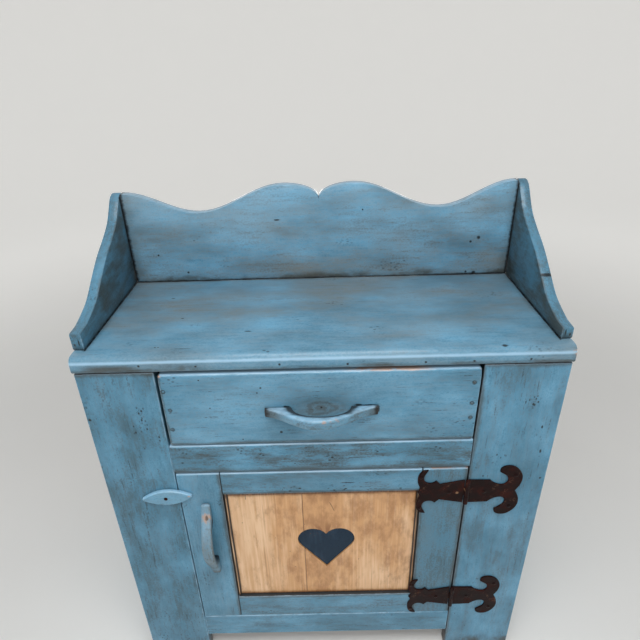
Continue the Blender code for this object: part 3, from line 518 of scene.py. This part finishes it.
def old_wood(name, grain, seed, seams=(), driven=()):
    """Unpainted wood, browned by age. Seams are places along X of gaps, driven are points of flush nails."""
    wood = Finish(name, "inside")
    clouds = wood.grained(grain, 0.25, seed, 10, 4, 0.6)
    figure = wood.grained(grain, 0.05, seed + 1, 70, 3, 0.55, 0.6)
    fibre = wood.grained(grain, 0.02, seed + 2, 420, 3, 0.6)
    bands = ((figure * 34).wave() * 0.5 + 0.5) * 0.6 + fibre * 0.4
    wood.lay("inside_dark", bands.rise(0.3, 0.85) * 0.75)
    wood.lay("grime_and_shade", clouds.rise(0.52, 0.78) * 0.4)
    wood.lay("bare", (1 - wood.edge(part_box(name)) / 0.003 + (fibre - 0.5)).rise(0.4, 1.0) * 0.35)
    for seam in seams:
        wood.lay("grime_and_shade", wood.beside("X", seam, 0.003, fibre) * 0.85)
    for point in driven:
        gap = wood.away(point) + (fibre - 0.5) * 0.002
        wood.lay("grime_and_shade", gap.fall(0.002, 0.009) * 0.3)
        wood.lay("iron", gap.fall(0.0022, 0.003))
    rough = 0.66 + (fibre - 0.5) * 0.3 - (clouds - 0.5) * 0.2
    return wood.done(rough, fibre * 0.6 + bands * 0.4, 0.0006, 0.6)


def honey_pine(name, seed, joints, lines=(), strokes=None, checks=(), warm=0.0):
    """Waxed pine of the door panel, dark at its joints, with the black lines beside its beads, a fan of brush
    strokes as (foot, reach), and checks in the wood as rows of (from, to, x, lean)."""
    pine = Finish(name, "pine")
    clouds = pine.grained("Z", 0.3, seed, 13, 4, 0.6)
    figure = pine.grained("Z", 0.06, seed + 1, 60, 3, 0.55, 0.5)
    fibre = pine.grained("Z", 0.03, seed + 2, 330, 3, 0.6)
    mottle = pine.grained("Z", 0.45, seed + 3, 42, 6, 0.7)
    pine.ramp(clouds + (fibre - 0.5) * 0.5 + warm, {0.38: "pine", 0.62: "pine_warm"})
    pine.lay("pine_warm", ((figure * 26).wave() * 0.5 + 0.5) * 0.3)
    pine.lay("pine_brown", (mottle + (clouds - 0.5) * 0.5 + warm).rise(0.48, 0.74) * 0.54)
    thin = pine.grained("Z", 0.02, seed + 6, 240, 2, 0.5).rise(0.64, 0.74) * 0.4
    pine.lay("pine_brown", thin)
    grime_and_shade = pine.pores("Z", seed, 120, 0.16, 0.08) * 0.6
    # Under the top rail the dark joint line is a painted shadow, with stain.
    for axis, at, reach in joints:
        pine.lay("pine_brown", pine.beside(axis, at, reach, mottle) * 0.8)
        grime_and_shade = grime_and_shade.most(pine.beside(axis, at, reach * 0.25, fibre))
    for axis, at, reach in lines:
        grime_and_shade = grime_and_shade.most(pine.beside(axis, at, reach * 1.6, fibre) * 1.2)
    across, along = pine.axes["X"], pine.axes["Z"]
    for low, high, at, lean in checks:
        line = abs(across - at - (along - low) * lean + (mottle - 0.5) * 0.004)
        span = along.rise(low, low + 0.004) * along.fall(high - 0.004, high)
        grime_and_shade = grime_and_shade.most(line.fall(0.0003, 0.0011) * span * 0.8)
    pine.lay("grime_and_shade", grime_and_shade * 0.8)
    if strokes:
        (x, z), reach = strokes
        up = along - z
        spread = (across - x) / (up + 0.012)
        fan = ((spread * 9 + (fibre - 0.5) * 3).wave() * 0.5 + 0.5).rise(0.35, 0.9)
        fan = fan * abs(spread).fall(0.5, 1.0) * up.fall(reach * 0.3, reach) * up.rise(-0.004, 0.0)
        pine.lay("pine_brown", fan * 0.8)
    rough = 0.42 + (fibre - 0.5) * 0.25 + (mottle - 0.5) * 0.15
    edge = pine.edge(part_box(name))
    height = fibre * 0.4 + mottle * 0.35 - grime_and_shade * 0.5 - edge.fall(0, 0.001) * 0.2
    return pine.done(rough, height, 0.0005, 0.5, coat=0.25, Coat_Roughness=0.25)


def heart_paint(name):
    paint = Finish(name, "heart")
    clouds = paint.grained("Z", 0.4, 21, 22, 4, 0.6)
    brush = paint.grained("Z", 0.06, 22, 190, 4, 0.6)
    fleck = paint.noise(paint.place, 260, 3, 0.6)
    paint.lay("heart_pale", (clouds + (brush - 0.5) * 0.5).rise(0.46, 0.74) * 0.6)
    paint.lay("grime_and_shade", fleck.rise(0.58, 0.72) * 0.45)
    paint.lay("pine_brown", (fleck + (clouds - 0.5)).rise(0.68, 0.8) * 0.3)
    rough = 0.4 + (brush - 0.5) * 0.3
    return paint.done(rough, brush * 0.5 + fleck * 0.4, 0.0005, 0.5, Specular_IOR_Level=0.18)


def wrought_iron(name, seed, spots=()):
    """Forged iron with rust in patches, and pale flecks that are painted glints. Spots are rows of (point,
    radius) where the iron shows bare and pale, with a painted glint.
    """
    iron = Finish(name, "iron")
    dents = iron.grained("", 1, seed, 75, 2, 0.45)
    scale = iron.grained("", 1, seed + 1, 420, 4, 0.65)
    patch = iron.grained("", 1, seed + 2, 38, 4, 0.6)
    rust = (patch + (scale - 0.5) * 0.5).rise(0.5, 0.7)
    iron.lay("rust", rust * 0.55)
    iron.lay("grime_and_shade", dents.fall(0.32, 0.5) * 0.5)
    # Painted glints: pale flecks laid in the bare colour, with less roughness.
    glint = (scale + (dents - 0.5)).rise(0.66, 0.8)
    scraped_and_glints = (glint * 0.12).most_of(
        (1 - iron.away(point) / radius + (scale - 0.5)).rise(0.2, 0.7) * 0.6 for point, radius in spots
    )
    iron.lay("bare", scraped_and_glints)
    rough = 0.44 + rust * 0.25 + (scale - 0.5) * 0.3 - glint * 0.1
    metal = 0.25 - rust * 0.2
    return iron.done(rough, dents * 0.75 + scale * 0.25, 0.0009, 0.7, metal, Specular_IOR_Level=0.12)


# ---- work on the pieces

def dress(name, material):
    """Gives a solid its finish."""
    piece = frame["nodes"][name]
    piece.data.materials.clear()
    piece.data.materials.append(material)


def mode(name):
    bpy.ops.object.mode_set(mode=name)


def smoothed(name, material, angle=SMOOTH_ANGLE):
    """A copy of a solid with its triangles merged and its curves shaded smooth. It stands for the solid."""
    bpy.ops.object.select_all(action="DESELECT")
    solid = frame["nodes"][name]
    solid.select_set(True)
    bpy.context.view_layer.objects.active = solid
    bpy.ops.object.duplicate(linked=False)
    piece = bpy.context.view_layer.objects.active
    piece.name = piece.data.name = name + "_smooth"
    for key in list(piece.keys()):
        del piece[key]
    mode("EDIT")
    bpy.ops.mesh.select_all(action="SELECT")
    bpy.ops.mesh.remove_doubles(threshold=1e-5)
    bpy.ops.mesh.customdata_custom_splitnormals_clear()
    mode("OBJECT")
    bpy.ops.object.shade_smooth_by_angle(angle=math.radians(angle))
    piece.data.materials.clear()
    piece.data.materials.append(material)
    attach(piece, next(body for body, held in frame["bodies"].items() if held == solid.parent))
    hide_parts(name)
    return piece


def carved(name, material, corners=(), voxel=0.0011, bite=0.0005):
    """A whittled copy of a wooden solid: edges softened, faces a little uneven, nothing outside the solid.
    Corners are rows of (point, direction that it points in, radius) to pare off."""
    piece = smoothed(name, material)
    mode("EDIT")
    for point, out, radius in corners:
        bpy.ops.mesh.select_all(action="SELECT")
        bpy.ops.mesh.bisect(
            plane_co=point - out * radius * (math.sqrt(2) - 1), plane_no=out, use_fill=True, clear_outer=True
        )
    mode("OBJECT")
    knife = bpy.data.textures.new(name + "_knife", "CLOUDS")
    knife.noise_scale, knife.noise_depth = 0.016, 2
    for kind, values in (
        ("REMESH", {"mode": "VOXEL", "voxel_size": voxel}),
        ("SMOOTH", {"factor": 0.5, "iterations": 2}),
        ("DISPLACE", {"texture": knife, "texture_coords": "LOCAL", "strength": bite, "mid_level": 1.0}),
    ):
        step = piece.modifiers.new(kind.lower(), kind)
        for key, value in values.items():
            setattr(step, key, value)
        bpy.ops.object.modifier_apply(modifier=step.name)
    bpy.ops.object.shade_smooth()
    return piece


def nail_head(name, spot, width, rise, body, material):
    """A hammered nail head that faces the front: a low dome with a flat on it, its rim in the wood."""
    sunk, sides, round_up_to = 0.0006, 14, 50
    bpy.ops.object.select_all(action="DESELECT")
    start = (spot[0], spot[1] + sunk, spot[2])
    bpy.ops.mesh.primitive_circle_add(
        vertices=sides, radius=width / 2, fill_type="NGON", location=start, rotation=(math.pi / 2, 0, 0)
    )
    piece = bpy.context.object
    piece.name = piece.data.name = name
    bpy.ops.object.transform_apply(location=True, rotation=True, scale=True)
    mode("EDIT")
    bpy.ops.mesh.select_all(action="SELECT")
    for out, spread in ((sunk + rise * 0.35, 1.0), (rise * 0.4, 0.8), (rise * 0.25, 0.62)):
        bpy.ops.mesh.extrude_region_move(TRANSFORM_OT_translate={"value": (0, -out, 0)})
        bpy.ops.transform.resize(value=(spread, 1, spread), center_override=spot)
    bpy.ops.mesh.select_all(action="SELECT")
    bpy.ops.mesh.normals_make_consistent(inside=False)
    mode("OBJECT")
    bpy.ops.object.shade_smooth_by_angle(angle=math.radians(round_up_to))
    piece.data.materials.append(material)
    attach(piece, body)
    return piece


def nails(name, spots, width, body, material):
    """Models one nail head and copies it to the other spots, each copy a little turned."""
    rise, turn = bpy.context.scene.cupboard_nails.rise, 1.1
    first = nail_head(name + "_1", spots[0], width, rise, body, material)
    for count, spot in enumerate(spots[1:], 2):
        copy = first.copy()
        copy.data = first.data.copy()
        copy.name = copy.data.name = f"{name}_{count}"
        bpy.context.scene.collection.objects.link(copy)
        move = Matrix.Translation(spot) @ Matrix.Rotation(count * turn, 4, "Y")
        copy.data.transform(move @ Matrix.Translation([-value for value in spots[0]]))
        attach(copy, body)


# ---- operators

class CUPBOARD_OT_carcass(Operator):
    """Paints the front boards and the sides"""

    bl_idname = "cupboard.carcass"
    bl_label = "Paint the carcass"

    def execute(self, context):
        joint = context.scene.cupboard_wear.joints
        for name, grain, seed, wax, brown, glow in (
            ("left_face_stile", "Z", 3, 0.66, 0.22, -0.09),
            ("right_face_stile", "Z", 8, 0.38, 0.45, -0.02),
            ("left_side", "Z", 14, 0.45, 0.25, 0.0),
            ("right_side", "Z", 19, 0.45, 0.25, 0.0),
            ("bottom_rail", "X", 27, 0.5, 0.25, 0.0),
        ):
            joints = [("Z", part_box("top_board")[0].z, joint * 0.5)]
            if name == "right_face_stile":
                joints.append(("X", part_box(name)[0].x, joint * 0.4))
            dress(name, painted(
                name, grain, seed, wax=wax, brown=(brown, 24, 0.44, 0.74), joints=joints,
                smudges=[("Z", 0.0, 0.05)], pits=0.8, glow=glow,
            ))
        low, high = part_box("drawer_rail")
        dress("drawer_rail", painted(
            "drawer_rail", "X", 33, wax=0.5, brown=(0.75, 52, 0.4, 0.72),
            joints=[("Z", low.z, joint * 0.6)], rubbed_and_highlight=[("Z", high.z, 0.004)], pits=0.7,
        ))
        return {"FINISHED"}


class CUPBOARD_OT_top(Operator):
    """Paints the top board, with its worn and bright front edge"""

    bl_idname = "cupboard.top"
    bl_label = "Paint the top"

    def execute(self, context):
        joint = context.scene.cupboard_wear.joints
        low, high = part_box("top_board")
        left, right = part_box("gallery_left"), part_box("gallery_right")
        beside_gallery = ("Y", left[0].y, high.y)
        joints = [
            ("Y", GALLERY_FACE, joint * 0.8),
            # Dark line along the top's lower front edge: a painted shadow, with grime.
            ("Z", low.z, joint * 0.4),
            ("X", left[1].x, joint * 0.5, beside_gallery),
            ("X", right[0].x, joint * 0.5, beside_gallery),
        ]
        front = ("Y", low.y - 0.001, low.y + 0.004)
        nose = ("Y", low.y - 0.001, low.y + 0.012)
        smudges = [
            ("Z", low.z + 0.006, 0.012, front, ("X", -0.34, -0.3, 0.04)),
            ("Z", low.z + 0.003, 0.007, front),
            ("Z", low.z + 0.006, 0.012, front, ("X", -0.21, -0.18, 0.05)),
            ("X", high.x, 0.015, front),
        ]
        dents = [((x, FACE + y, TOP), radius, "X", length) for x, y, radius, length in TOP_DENTS]
        # The pale band on the nose is a painted highlight over wear of the paint.
        material = painted(
            "top_board", "X", 41, wax=0.1, brown=(0.15, 12, 0.4, 0.85),
            haze=("Y", FACE + 0.02, FACE + 0.17, 0.65), joints=joints, smudges=smudges,
            rubbed_and_highlight=[("Z", TOP - 0.0096, 0.0044, nose)], holes=dents + marks(HOLES, "top_nose", low.y),
            spots=[((high.x, low.y, low.z + 0.012), 0.012)], glow=0.05, corner=0.2, veil=0.9, scratches=0.3,
        )
        smoothed("top_board", material)
        return {"FINISHED"}


class CUPBOARD_OT_gallery(Operator):
    """Paints the three scalloped boards on the top"""

    bl_idname = "cupboard.gallery"
    bl_label = "Paint the gallery"

    def execute(self, context):
        joint = context.scene.cupboard_wear.joints
        left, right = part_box("gallery_left")[1].x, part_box("gallery_right")[0].x
        # glow makes the gallery back paler: painted light.
        material = painted(
            "gallery_back", "X", 52, wax=0.2, brown=(0.4, 22, 0.42, 0.8),
            haze=("Z", TOP + 0.13, TOP, 0.7),
            joints=[("Z", TOP, joint), ("X", left, joint * 1.5), ("X", right, joint * 1.1)],
            smudges=[("Z", TOP, 0.02)], upper_wear_and_highlight=0.6, glow=0.16, corner=0.3, veil=0.95, scratches=0.1,
        )
        smoothed("gallery_back", material)
        front = FACE + 0.0235
        split = ((0.3707, 0.0, TOP + 0.0605), 0.0042, "X", 0.024)
        chips = [
            ((0.367, front, TOP + 0.012), 0.0013, "Z", 0.014),
            ((0.374, front, TOP + 0.008), 0.0015, "Z", 0.006),
        ]
        left_chips = [((-x, y, z + 0.002), *size) for (x, y, z), *size in chips]
        for name, seed, inner, wax, holes in (
            ("gallery_left", 57, left, 0.5, left_chips),
            ("gallery_right", 63, right, 0.55, [split, *chips]),
        ):
            # The sides' inner faces are darkened by their low glow and the brown smudge: painted shade, with
            # wax.
            material = painted(
                name, "Y", seed, wax=wax, brown=(0.5, 24, 0.35, 0.75),
                joints=[("Z", TOP, joint * 0.8), ("Y", GALLERY_FACE, joint * 0.8, ("X", inner, inner))],
                smudges=[("X", inner, 0.005)], holes=holes, upper_wear_and_highlight=0.15, glow=-0.25, veil=0.1,
                scratches=0.1,
            )
            smoothed(name, material)
        return {"FINISHED"}


class CUPBOARD_OT_drawer(Operator):
    """Paints the drawer front, leaves the drawer box bare, and drives in its nails"""

    bl_idname = "cupboard.drawer"
    bl_label = "Finish the drawer"

    def execute(self, context):
        low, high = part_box("drawer_front")
        grip_low, grip_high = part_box("drawer_handle")
        grip = (grip_low + grip_high) / 2
        width = context.scene.cupboard_nails.drawer
        nailed = [Vector((x, low.y, TOP + z)) for x, z in DRAWER_NAILS]
        round_nails = [(spot, width * 0.95) for spot in nailed]
        # Dark marks round the handle's feet and at its ends: painted shade, with grime.
        shade_and_grime_round_handle = [
            ((grip_high.x - 0.013, low.y, grip_high.z - 0.0032), 0.0018, "X", 0.03),
            ((grip_high.x - 0.031, low.y, grip_high.z - 0.002), 0.0026, "X", 0.014),
            ((grip_high.x, low.y, grip.z - 0.001), 0.0034, "Z", 0.018),
            ((grip_low.x + 0.034, low.y, grip_high.z - 0.003), 0.003, "X", 0.012),
        ]
        worn_corners = [
            ((low.x, low.y, high.z), 0.011), ((low.x, low.y, low.z), 0.009), ((high.x, low.y, high.z), 0.008),
        ]
        dress("drawer_front", painted(
            "drawer_front", "X", 71, wax=0.25, brown=(0.35, 18, 0.46, 0.76),
            joints=[("Z", low.z, 0.003), ("X", low.x, 0.002)], rubbed_and_highlight=[("Z", high.z, 0.0014)],
            bare=[("Z", high.z, 0.0035, ("X", 0.06, 0.14, 0.04))],
            holes=round_nails + shade_and_grime_round_handle,
            knots=[((grip.x, low.y, grip.z + 0.004), 0.022)], spots=worn_corners, glow=0.05, veil=0.3,
            scratches=0.6,
        ))
        for name, grain, seed in (
            ("drawer_left_side", "Y", 73), ("drawer_right_side", "Y", 74),
            ("drawer_back", "X", 75), ("drawer_bottom", "X", 76),
        ):
            dress(name, old_wood(name, grain, seed))
        box = (nailed[0] - Vector((0.01, 0.01, 0.01)), nailed[-1] + Vector((0.01, 0.01, 0.1)))
        material = painted("drawer_nails", "X", 5, box=box, wax=0.8, brown=(0.75, 60, 0.15, 0.6))
        nails("drawer_nail", nailed, width, "drawer", material)
        return {"FINISHED"}


class CUPBOARD_OT_door(Operator):
    """Paints the door frame and the heart, and waxes the pine panel and its beads"""

    bl_idname = "cupboard.door"
    bl_label = "Finish the door"

    def execute(self, context):
        left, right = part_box("door_lock_stile")[1].x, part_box("door_hinge_stile")[0].x
        under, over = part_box("door_top_rail")[0].z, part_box("door_bottom_rail")[1].z
        self.frame(left, right, under, over)
        self.panel(left, right, under, over, context.scene.cupboard_wear.joints)
        smoothed("heart_inlay", heart_paint("heart_inlay"), 25)
        return {"FINISHED"}

    def frame(self, left, right, under, over):
        across = [("Z", under, 0.003), ("Z", over, 0.003)]
        for name, grain, seed, wax, brown, glow, veil, joints in (
            ("door_lock_stile", "Z", 81, 0.25, 0.2, 0.0, 0.22, [("X", left, 0.003)]),
            # The hinge stile's low glow darkens it: painted shade.
            ("door_hinge_stile", "Z", 85, 0.5, 0.15, -0.3, 0.35, [("X", right, 0.003)]),
            ("door_top_rail", "X", 91, 0.45, 0.45, 0.0, 0.22, across),
            ("door_bottom_rail", "X", 95, 0.5, 0.4, 0.0, 0.22, across),
        ):
            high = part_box(name)[1]
            bare = ()
            if name == "door_hinge_stile":
                joints.append(("X", high.x, 0.003))
                bare = [("Z", high.z, 0.0025)]
            dress(name, painted(
                name, grain, seed, wax=wax, brown=(brown, 30, 0.44, 0.72), joints=joints,
                rubbed_and_highlight=[("Z", high.z, 0.004)], bare=bare, glow=glow, veil=veil,
            ))

    def panel(self, left, right, under, over, joint):
        hidden = 0.0078  # height of the panel that the top rail hides from a standing person
        # The dark line just below the top rail is a painted shadow, with brown stain.
        ends = [("Z", under - hidden, joint * 1.3), ("Z", over, joint * 1.5)]
        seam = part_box("panel_right_board")[0].x
        sides = [("X", left, joint * 2), ("X", right, joint * 2), ("X", seam, 0.002)]
        beads = [("X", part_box("left_bead")[1].x, 0.0021), ("X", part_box("right_bead")[0].x, 0.0021)]
        heart_low, heart_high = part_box("heart_inlay")
        cleft = ((heart_low.x + heart_high.x) / 2, heart_high.z - 0.012)
        for name, seed, warm, checks in (
            ("panel_left_board", 101, 0.0, [(under - 0.022, under, left + 0.037, 0.05)]),
            ("panel_right_board", 107, 0.07, [(TOP - 0.338, TOP - 0.313, 0.0148, -0.375)]),
        ):
            dress(name, honey_pine(name, seed, ends + sides, beads, (cleft, 0.034), checks, warm))
        for name, seed, groove in (("left_bead", 111, left), ("right_bead", 113, right)):
            dress(name, honey_pine(name, seed, ends, beads + [("X", groove, 0.0036)]))


class CUPBOARD_OT_handles(Operator):
    """Paints the two carved bow handles and the turn button, worn to the wood where hands touch them"""

    bl_idname = "cupboard.handles"
    bl_label = "Finish the handles"

    GAP_LENGTH, GAP_DEPTH = 0.0465, 0.026  # half the length of a finger gap, and its depth

    def execute(self, context):
        self.drawer_handle()
        self.door_handle()
        self.turn_button()
        return {"FINISHED"}

    def drawer_handle(self):
        low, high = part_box("drawer_handle")
        middle = (low + high) / 2
        worn_and_highlight = ((0.004, 0.0085), (0.014, 0.0045), (0.024, 0.007))
        material = painted(
            "drawer_handle", "X", 121, wax=0.3, brown=(0.6, 60, 0.42, 0.68),
            joints=[("X", low.x, 0.018), ("X", high.x, 0.014), ("Y", high.y, 0.003)],
            spots=[((middle.x + x, low.y + 10 * x * x, middle.z + 0.007), radius) for x, radius in worn_and_highlight],
            hollow=((middle.x, high.y, middle.z), (1 / self.GAP_LENGTH, 1 / self.GAP_DEPTH, 0)),
            upper_wear_and_highlight=0.8, glow=0.2, veil=0.4,
        )
        carved("drawer_handle", material)

    def door_handle(self):
        low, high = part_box("door_handle")
        middle = (low + high) / 2
        patch = Vector((middle.x + 0.002, low.y + 0.0266, high.z - 0.021))
        material = painted(
            "door_handle", "Z", 127, wax=0.3, brown=(0.6, 40, 0.4, 0.68),
            joints=[("Z", low.z, 0.007), ("Y", high.y, 0.003)],
            spots=[(patch, 0.0135), ((middle.x, low.y + 0.010, high.z - 0.06), 0.006)],
            hollow=((middle.x, high.y, middle.z), (0, 1 / self.GAP_DEPTH, 1 / self.GAP_LENGTH)),
            holes=[(patch, 0.0032, "Z", 0.014, 0.7)], upper_wear_and_highlight=0.6, glow=0.1, veil=0.8,
        )
        half, round_end = (high - low) / 2, (high.x - low.x) * 0.38
        ends = [Vector((side, 0, end)) for side in (-1, 1) for end in (-1, 1)]
        corners = [(middle + out * half, out.normalized(), round_end) for out in ends]
        carved("door_handle", material, corners)

    def turn_button(self):
        low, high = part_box("turn_button")
        material = painted(
            "turn_button", "X", 131, wax=0.15,
            spots=[
                ((low.x + 0.07, high.y, high.z - 0.008), 0.008),
                ((low.x + 0.082, low.y, high.z - 0.012), 0.005),
            ],
            upper_wear_and_highlight=0.6, glow=0.25, veil=0.4,
        )
        carved("turn_button", material, voxel=0.0007, bite=0.0002)


class CUPBOARD_OT_ironwork(Operator):
    """Gives the hinges, their pins and the button's nail their forged iron, and nails the hinges on"""

    bl_idname = "cupboard.ironwork"
    bl_label = "Finish the ironwork"

    LEAF_FACE = FACE - 0.0033
    SMOOTH = 40  # degrees up to which a forged edge is shaded round

    def execute(self, context):
        width = context.scene.cupboard_nails.hinge
        for level, seed in (("upper", 141), ("lower", 146)):
            pin = sum(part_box(f"{level}_hinge_pin"), Vector()) / 2
            scrapes_and_glints = ()
            if level == "upper":
                scrapes_and_glints = [((pin.x + x, FACE - 0.004, pin.z + z), 0.0045) for x, z in HINGE_SCRAPES_AND_GLINTS]
            iron = wrought_iron(f"{level}_hinge_iron", seed, scrapes_and_glints)
            for leaf, body, side in (("frame", "carcass", 1), ("door", "door", -1)):
                smoothed(f"{level}_hinge_{leaf}_leaf", iron, self.SMOOTH)
                spots = [(pin.x + side * x, self.LEAF_FACE, pin.z + z) for x, z in HINGE_NAILS]
                nails(f"{level}_hinge_{leaf}_nail", spots, width, body, iron)
            smoothed(f"{level}_hinge_pin", iron, self.SMOOTH)
        smoothed("turn_button_nail", wrought_iron("turn_button_nail", 151), self.SMOOTH)
        return {"FINISHED"}


class CUPBOARD_OT_inside(Operator):
    """Gives the back, the shelf and the hidden strips their old bare wood"""

    bl_idname = "cupboard.inside"
    bl_label = "Finish the inside"

    FIRST_SEED, SEED_STEP = 161, 3
    NAIL_FROM_EDGE, NAIL_FROM_END = 0.032, 0.012

    def execute(self, context):
        pieces = [("Z", f"back_plank_{count}") for count in (1, 2, 3, 4)]
        pieces += [("Z", "door_stop"), ("X", "bottom_board"), ("X", "shelf")]
        for strip in ("shelf_cleat", "bottom_cleat", "runner_cleat", "drawer_runner", "drawer_guide"):
            pieces += [("Y", f"{side}_{strip}") for side in ("left", "right")]
        levels = [sum(end.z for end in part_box(name)) / 2 for name in ("bottom_board", "shelf")]
        levels.append(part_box("back_plank_1")[1].z - self.NAIL_FROM_END)
        for count, (grain, name) in enumerate(pieces):
            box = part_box(name)
            seams, driven = (), ()
            if name.startswith("back_plank"):
                seams = [end.x for end in box]
                columns = (seams[0] + self.NAIL_FROM_EDGE, seams[1] - self.NAIL_FROM_EDGE)
                driven = [(x, box[1].y, level) for x in columns for level in levels]
            dress(name, old_wood(name, grain, self.FIRST_SEED + count * self.SEED_STEP, seams, driven))
        return {"FINISHED"}


class CUPBOARD_OT_stage(Operator):
    """Lays the pale floor, hangs the soft lights and sets the camera at the photograph's angle"""

    bl_idname = "cupboard.stage"
    bl_label = "Set the stage"

    # Name, place, what it aims at, size, power in watts, spread in degrees.
    LAMPS = (
        ("key", (-0.15, -2.15, 2.1), (0, 0, 0.7), (1.5, 2.2), 28.5, 180),
        ("overhead", (0.0, -0.8, 2.35), (0, 0.05, 0.78), (1.6, 0.8), 27.5, 180),
        ("left", (-2.4, -0.2, 0.45), (0, 0, 0.5), (1.2, 0.6), 2, 50),
        ("right", (2.4, -0.2, 0.45), (0, 0, 0.5), (1.2, 0.6), 2, 50),
        ("behind", (0.0, 2.4, 0.45), (0, 0.1, 0.2), (1.4, 0.6), 3, 40),
    )
    SKY, SKY_STRENGTH = (0.95, 0.98, 1.0, 1), 0.22
    LENS = 28.87  # mm, for a sensor 36 mm wide
    EYE = (0.0034, FACE - 0.64807, TOP + 0.39774)
    PITCH, YAW, ROLL = 27.8346, 0.4329, -1.6162

    def execute(self, context):
        scene = context.scene
        scene.view_settings.view_transform = "Standard"
        self.floor()
        self.sky(scene)
        for lamp in self.LAMPS:
            self.light(scene, *lamp)
        self.camera(scene)
        return {"FINISHED"}

    def floor(self):
        """A round floor whose rim sweeps up into a wall, so that it is the backdrop from every side."""
        reach, sweep, wall, steps, rim = 4.0, 1.6, 4.5, 12, 0.5
        turns = [math.pi / 2 * step / steps for step in range(steps + 1)]
        rings = [(reach + sweep * math.sin(turn), sweep * (1 - math.cos(turn))) for turn in turns]
        rings.append((reach + sweep, wall))
        bpy.ops.object.select_all(action="DESELECT")
        bpy.ops.mesh.primitive_circle_add(vertices=96, radius=reach, fill_type="NOTHING")
        cove = bpy.context.object
        cove.name = "floor"
        mode("EDIT")
        bpy.ops.mesh.select_all(action="SELECT")
        for (wide, low), (wider, high) in zip(rings, rings[1:]):
            bpy.ops.mesh.extrude_region_move(TRANSFORM_OT_translate={"value": (0, 0, high - low)})
            bpy.ops.transform.resize(value=(wider / wide, wider / wide, 1), center_override=(0, 0, 0))
        bpy.ops.mesh.select_all(action="DESELECT")
        mode("OBJECT")
        for vertex in cove.data.vertices:
            vertex.select = vertex.co.z < 1e-6
        mode("EDIT")
        bpy.ops.mesh.edge_face_add()
        bpy.ops.mesh.inset(thickness=rim)
        bpy.ops.mesh.select_all(action="SELECT")
        bpy.ops.mesh.normals_make_consistent(inside=True)
        mode("OBJECT")
        bpy.ops.object.shade_smooth()
        cove.data.materials.append(self.pale())

    def pale(self):
        """The floor's finish. Away from the object it glows a little, so that the backdrop is even."""
        pale = Finish("floor", "floor")
        tint = pale.look.floor
        speck = pale.noise(pale.place, 3, 3)
        pale.base = pale.blend(tint, [level * 0.96 for level in tint], speck)
        seen = pale.node("ShaderNodeLightPath", output="Is Camera Ray")
        for ray in ("Is Glossy Ray", "Is Transmission Ray"):
            seen = seen.most(pale.node("ShaderNodeLightPath", output=ray))
        far = pale.away((0, 0, 0), (1, 1, 0.5)).rise(0.4, 3.2)
        pale.feed(pale.shader.inputs["Emission Color"], pale.blend((0, 0, 0), tint, seen * far * 0.6))
        return pale.done(0.8 + (speck - 0.5) * 0.1, speck, 0.001, 0.1, Emission_Strength=1.0)

    def sky(self, scene):
        scene.world = bpy.data.worlds.new("studio")
        scene.world.use_nodes = True
        sky = scene.world.node_tree.nodes["Background"]
        sky.inputs["Color"].default_value = self.SKY
        sky.inputs["Strength"].default_value = self.SKY_STRENGTH

    def light(self, scene, name, place, aim, size, power, spread):
        lamp = bpy.data.lights.new(name, "AREA")
        lamp.shape = "RECTANGLE"
        lamp.size, lamp.size_y = size
        lamp.energy, lamp.spread = power, math.radians(spread)
        held = bpy.data.objects.new(name, lamp)
        held.location = place
        held.visible_camera = False
        held.rotation_euler = (Vector(aim) - Vector(place)).to_track_quat("-Z", "Y").to_euler()
        scene.collection.objects.link(held)

    def camera(self, scene):
        pitch, yaw, roll = (math.radians(angle) for angle in (self.PITCH, self.YAW, self.ROLL))
        data = bpy.data.cameras.new("camera")
        data.lens = self.LENS
        camera = bpy.data.objects.new("camera", data)
        camera.matrix_world = (
            Matrix.Translation(self.EYE) @ Matrix.Rotation(yaw, 4, "Z")
            @ Matrix.Rotation(math.pi / 2 - pitch, 4, "X") @ Matrix.Rotation(roll, 4, "Z")
        )
        scene.collection.objects.link(camera)
        scene.camera = camera


class CUPBOARD_PT_panel(Panel):
    """Lists the cupboard's settings and steps"""

    bl_idname = "CUPBOARD_PT_panel"
    bl_label = "Milk cupboard"
    bl_space_type = "VIEW_3D"
    bl_region_type = "UI"
    bl_category = "Cupboard"

    def draw(self, context):
        for name, group in GROUPS.items():
            box = self.layout.box()
            for key in group.__annotations__:
                box.prop(getattr(context.scene, name), key)
        for step in STEPS:
            self.layout.operator(step.bl_idname)


GROUPS = {
    "cupboard_colours": CupboardColours,
    "cupboard_wear": CupboardWear,
    "cupboard_nails": CupboardNails,
}
STEPS = (
    CUPBOARD_OT_carcass, CUPBOARD_OT_top, CUPBOARD_OT_gallery, CUPBOARD_OT_drawer, CUPBOARD_OT_door,
    CUPBOARD_OT_handles, CUPBOARD_OT_ironwork, CUPBOARD_OT_inside, CUPBOARD_OT_stage,
)
CLASSES = (*GROUPS.values(), *STEPS, CUPBOARD_PT_panel)


def register():
    for made in CLASSES:
        bpy.utils.register_class(made)
    for name, group in GROUPS.items():
        setattr(bpy.types.Scene, name, PointerProperty(type=group))


def unregister():
    for name in GROUPS:
        delattr(bpy.types.Scene, name)
    for made in reversed(CLASSES):
        bpy.utils.unregister_class(made)


def main():
    register()
    for step in STEPS:
        group, name = step.bl_idname.split(".")
        getattr(getattr(bpy.ops, group), name)()


if __name__ == "__main__":
    main()
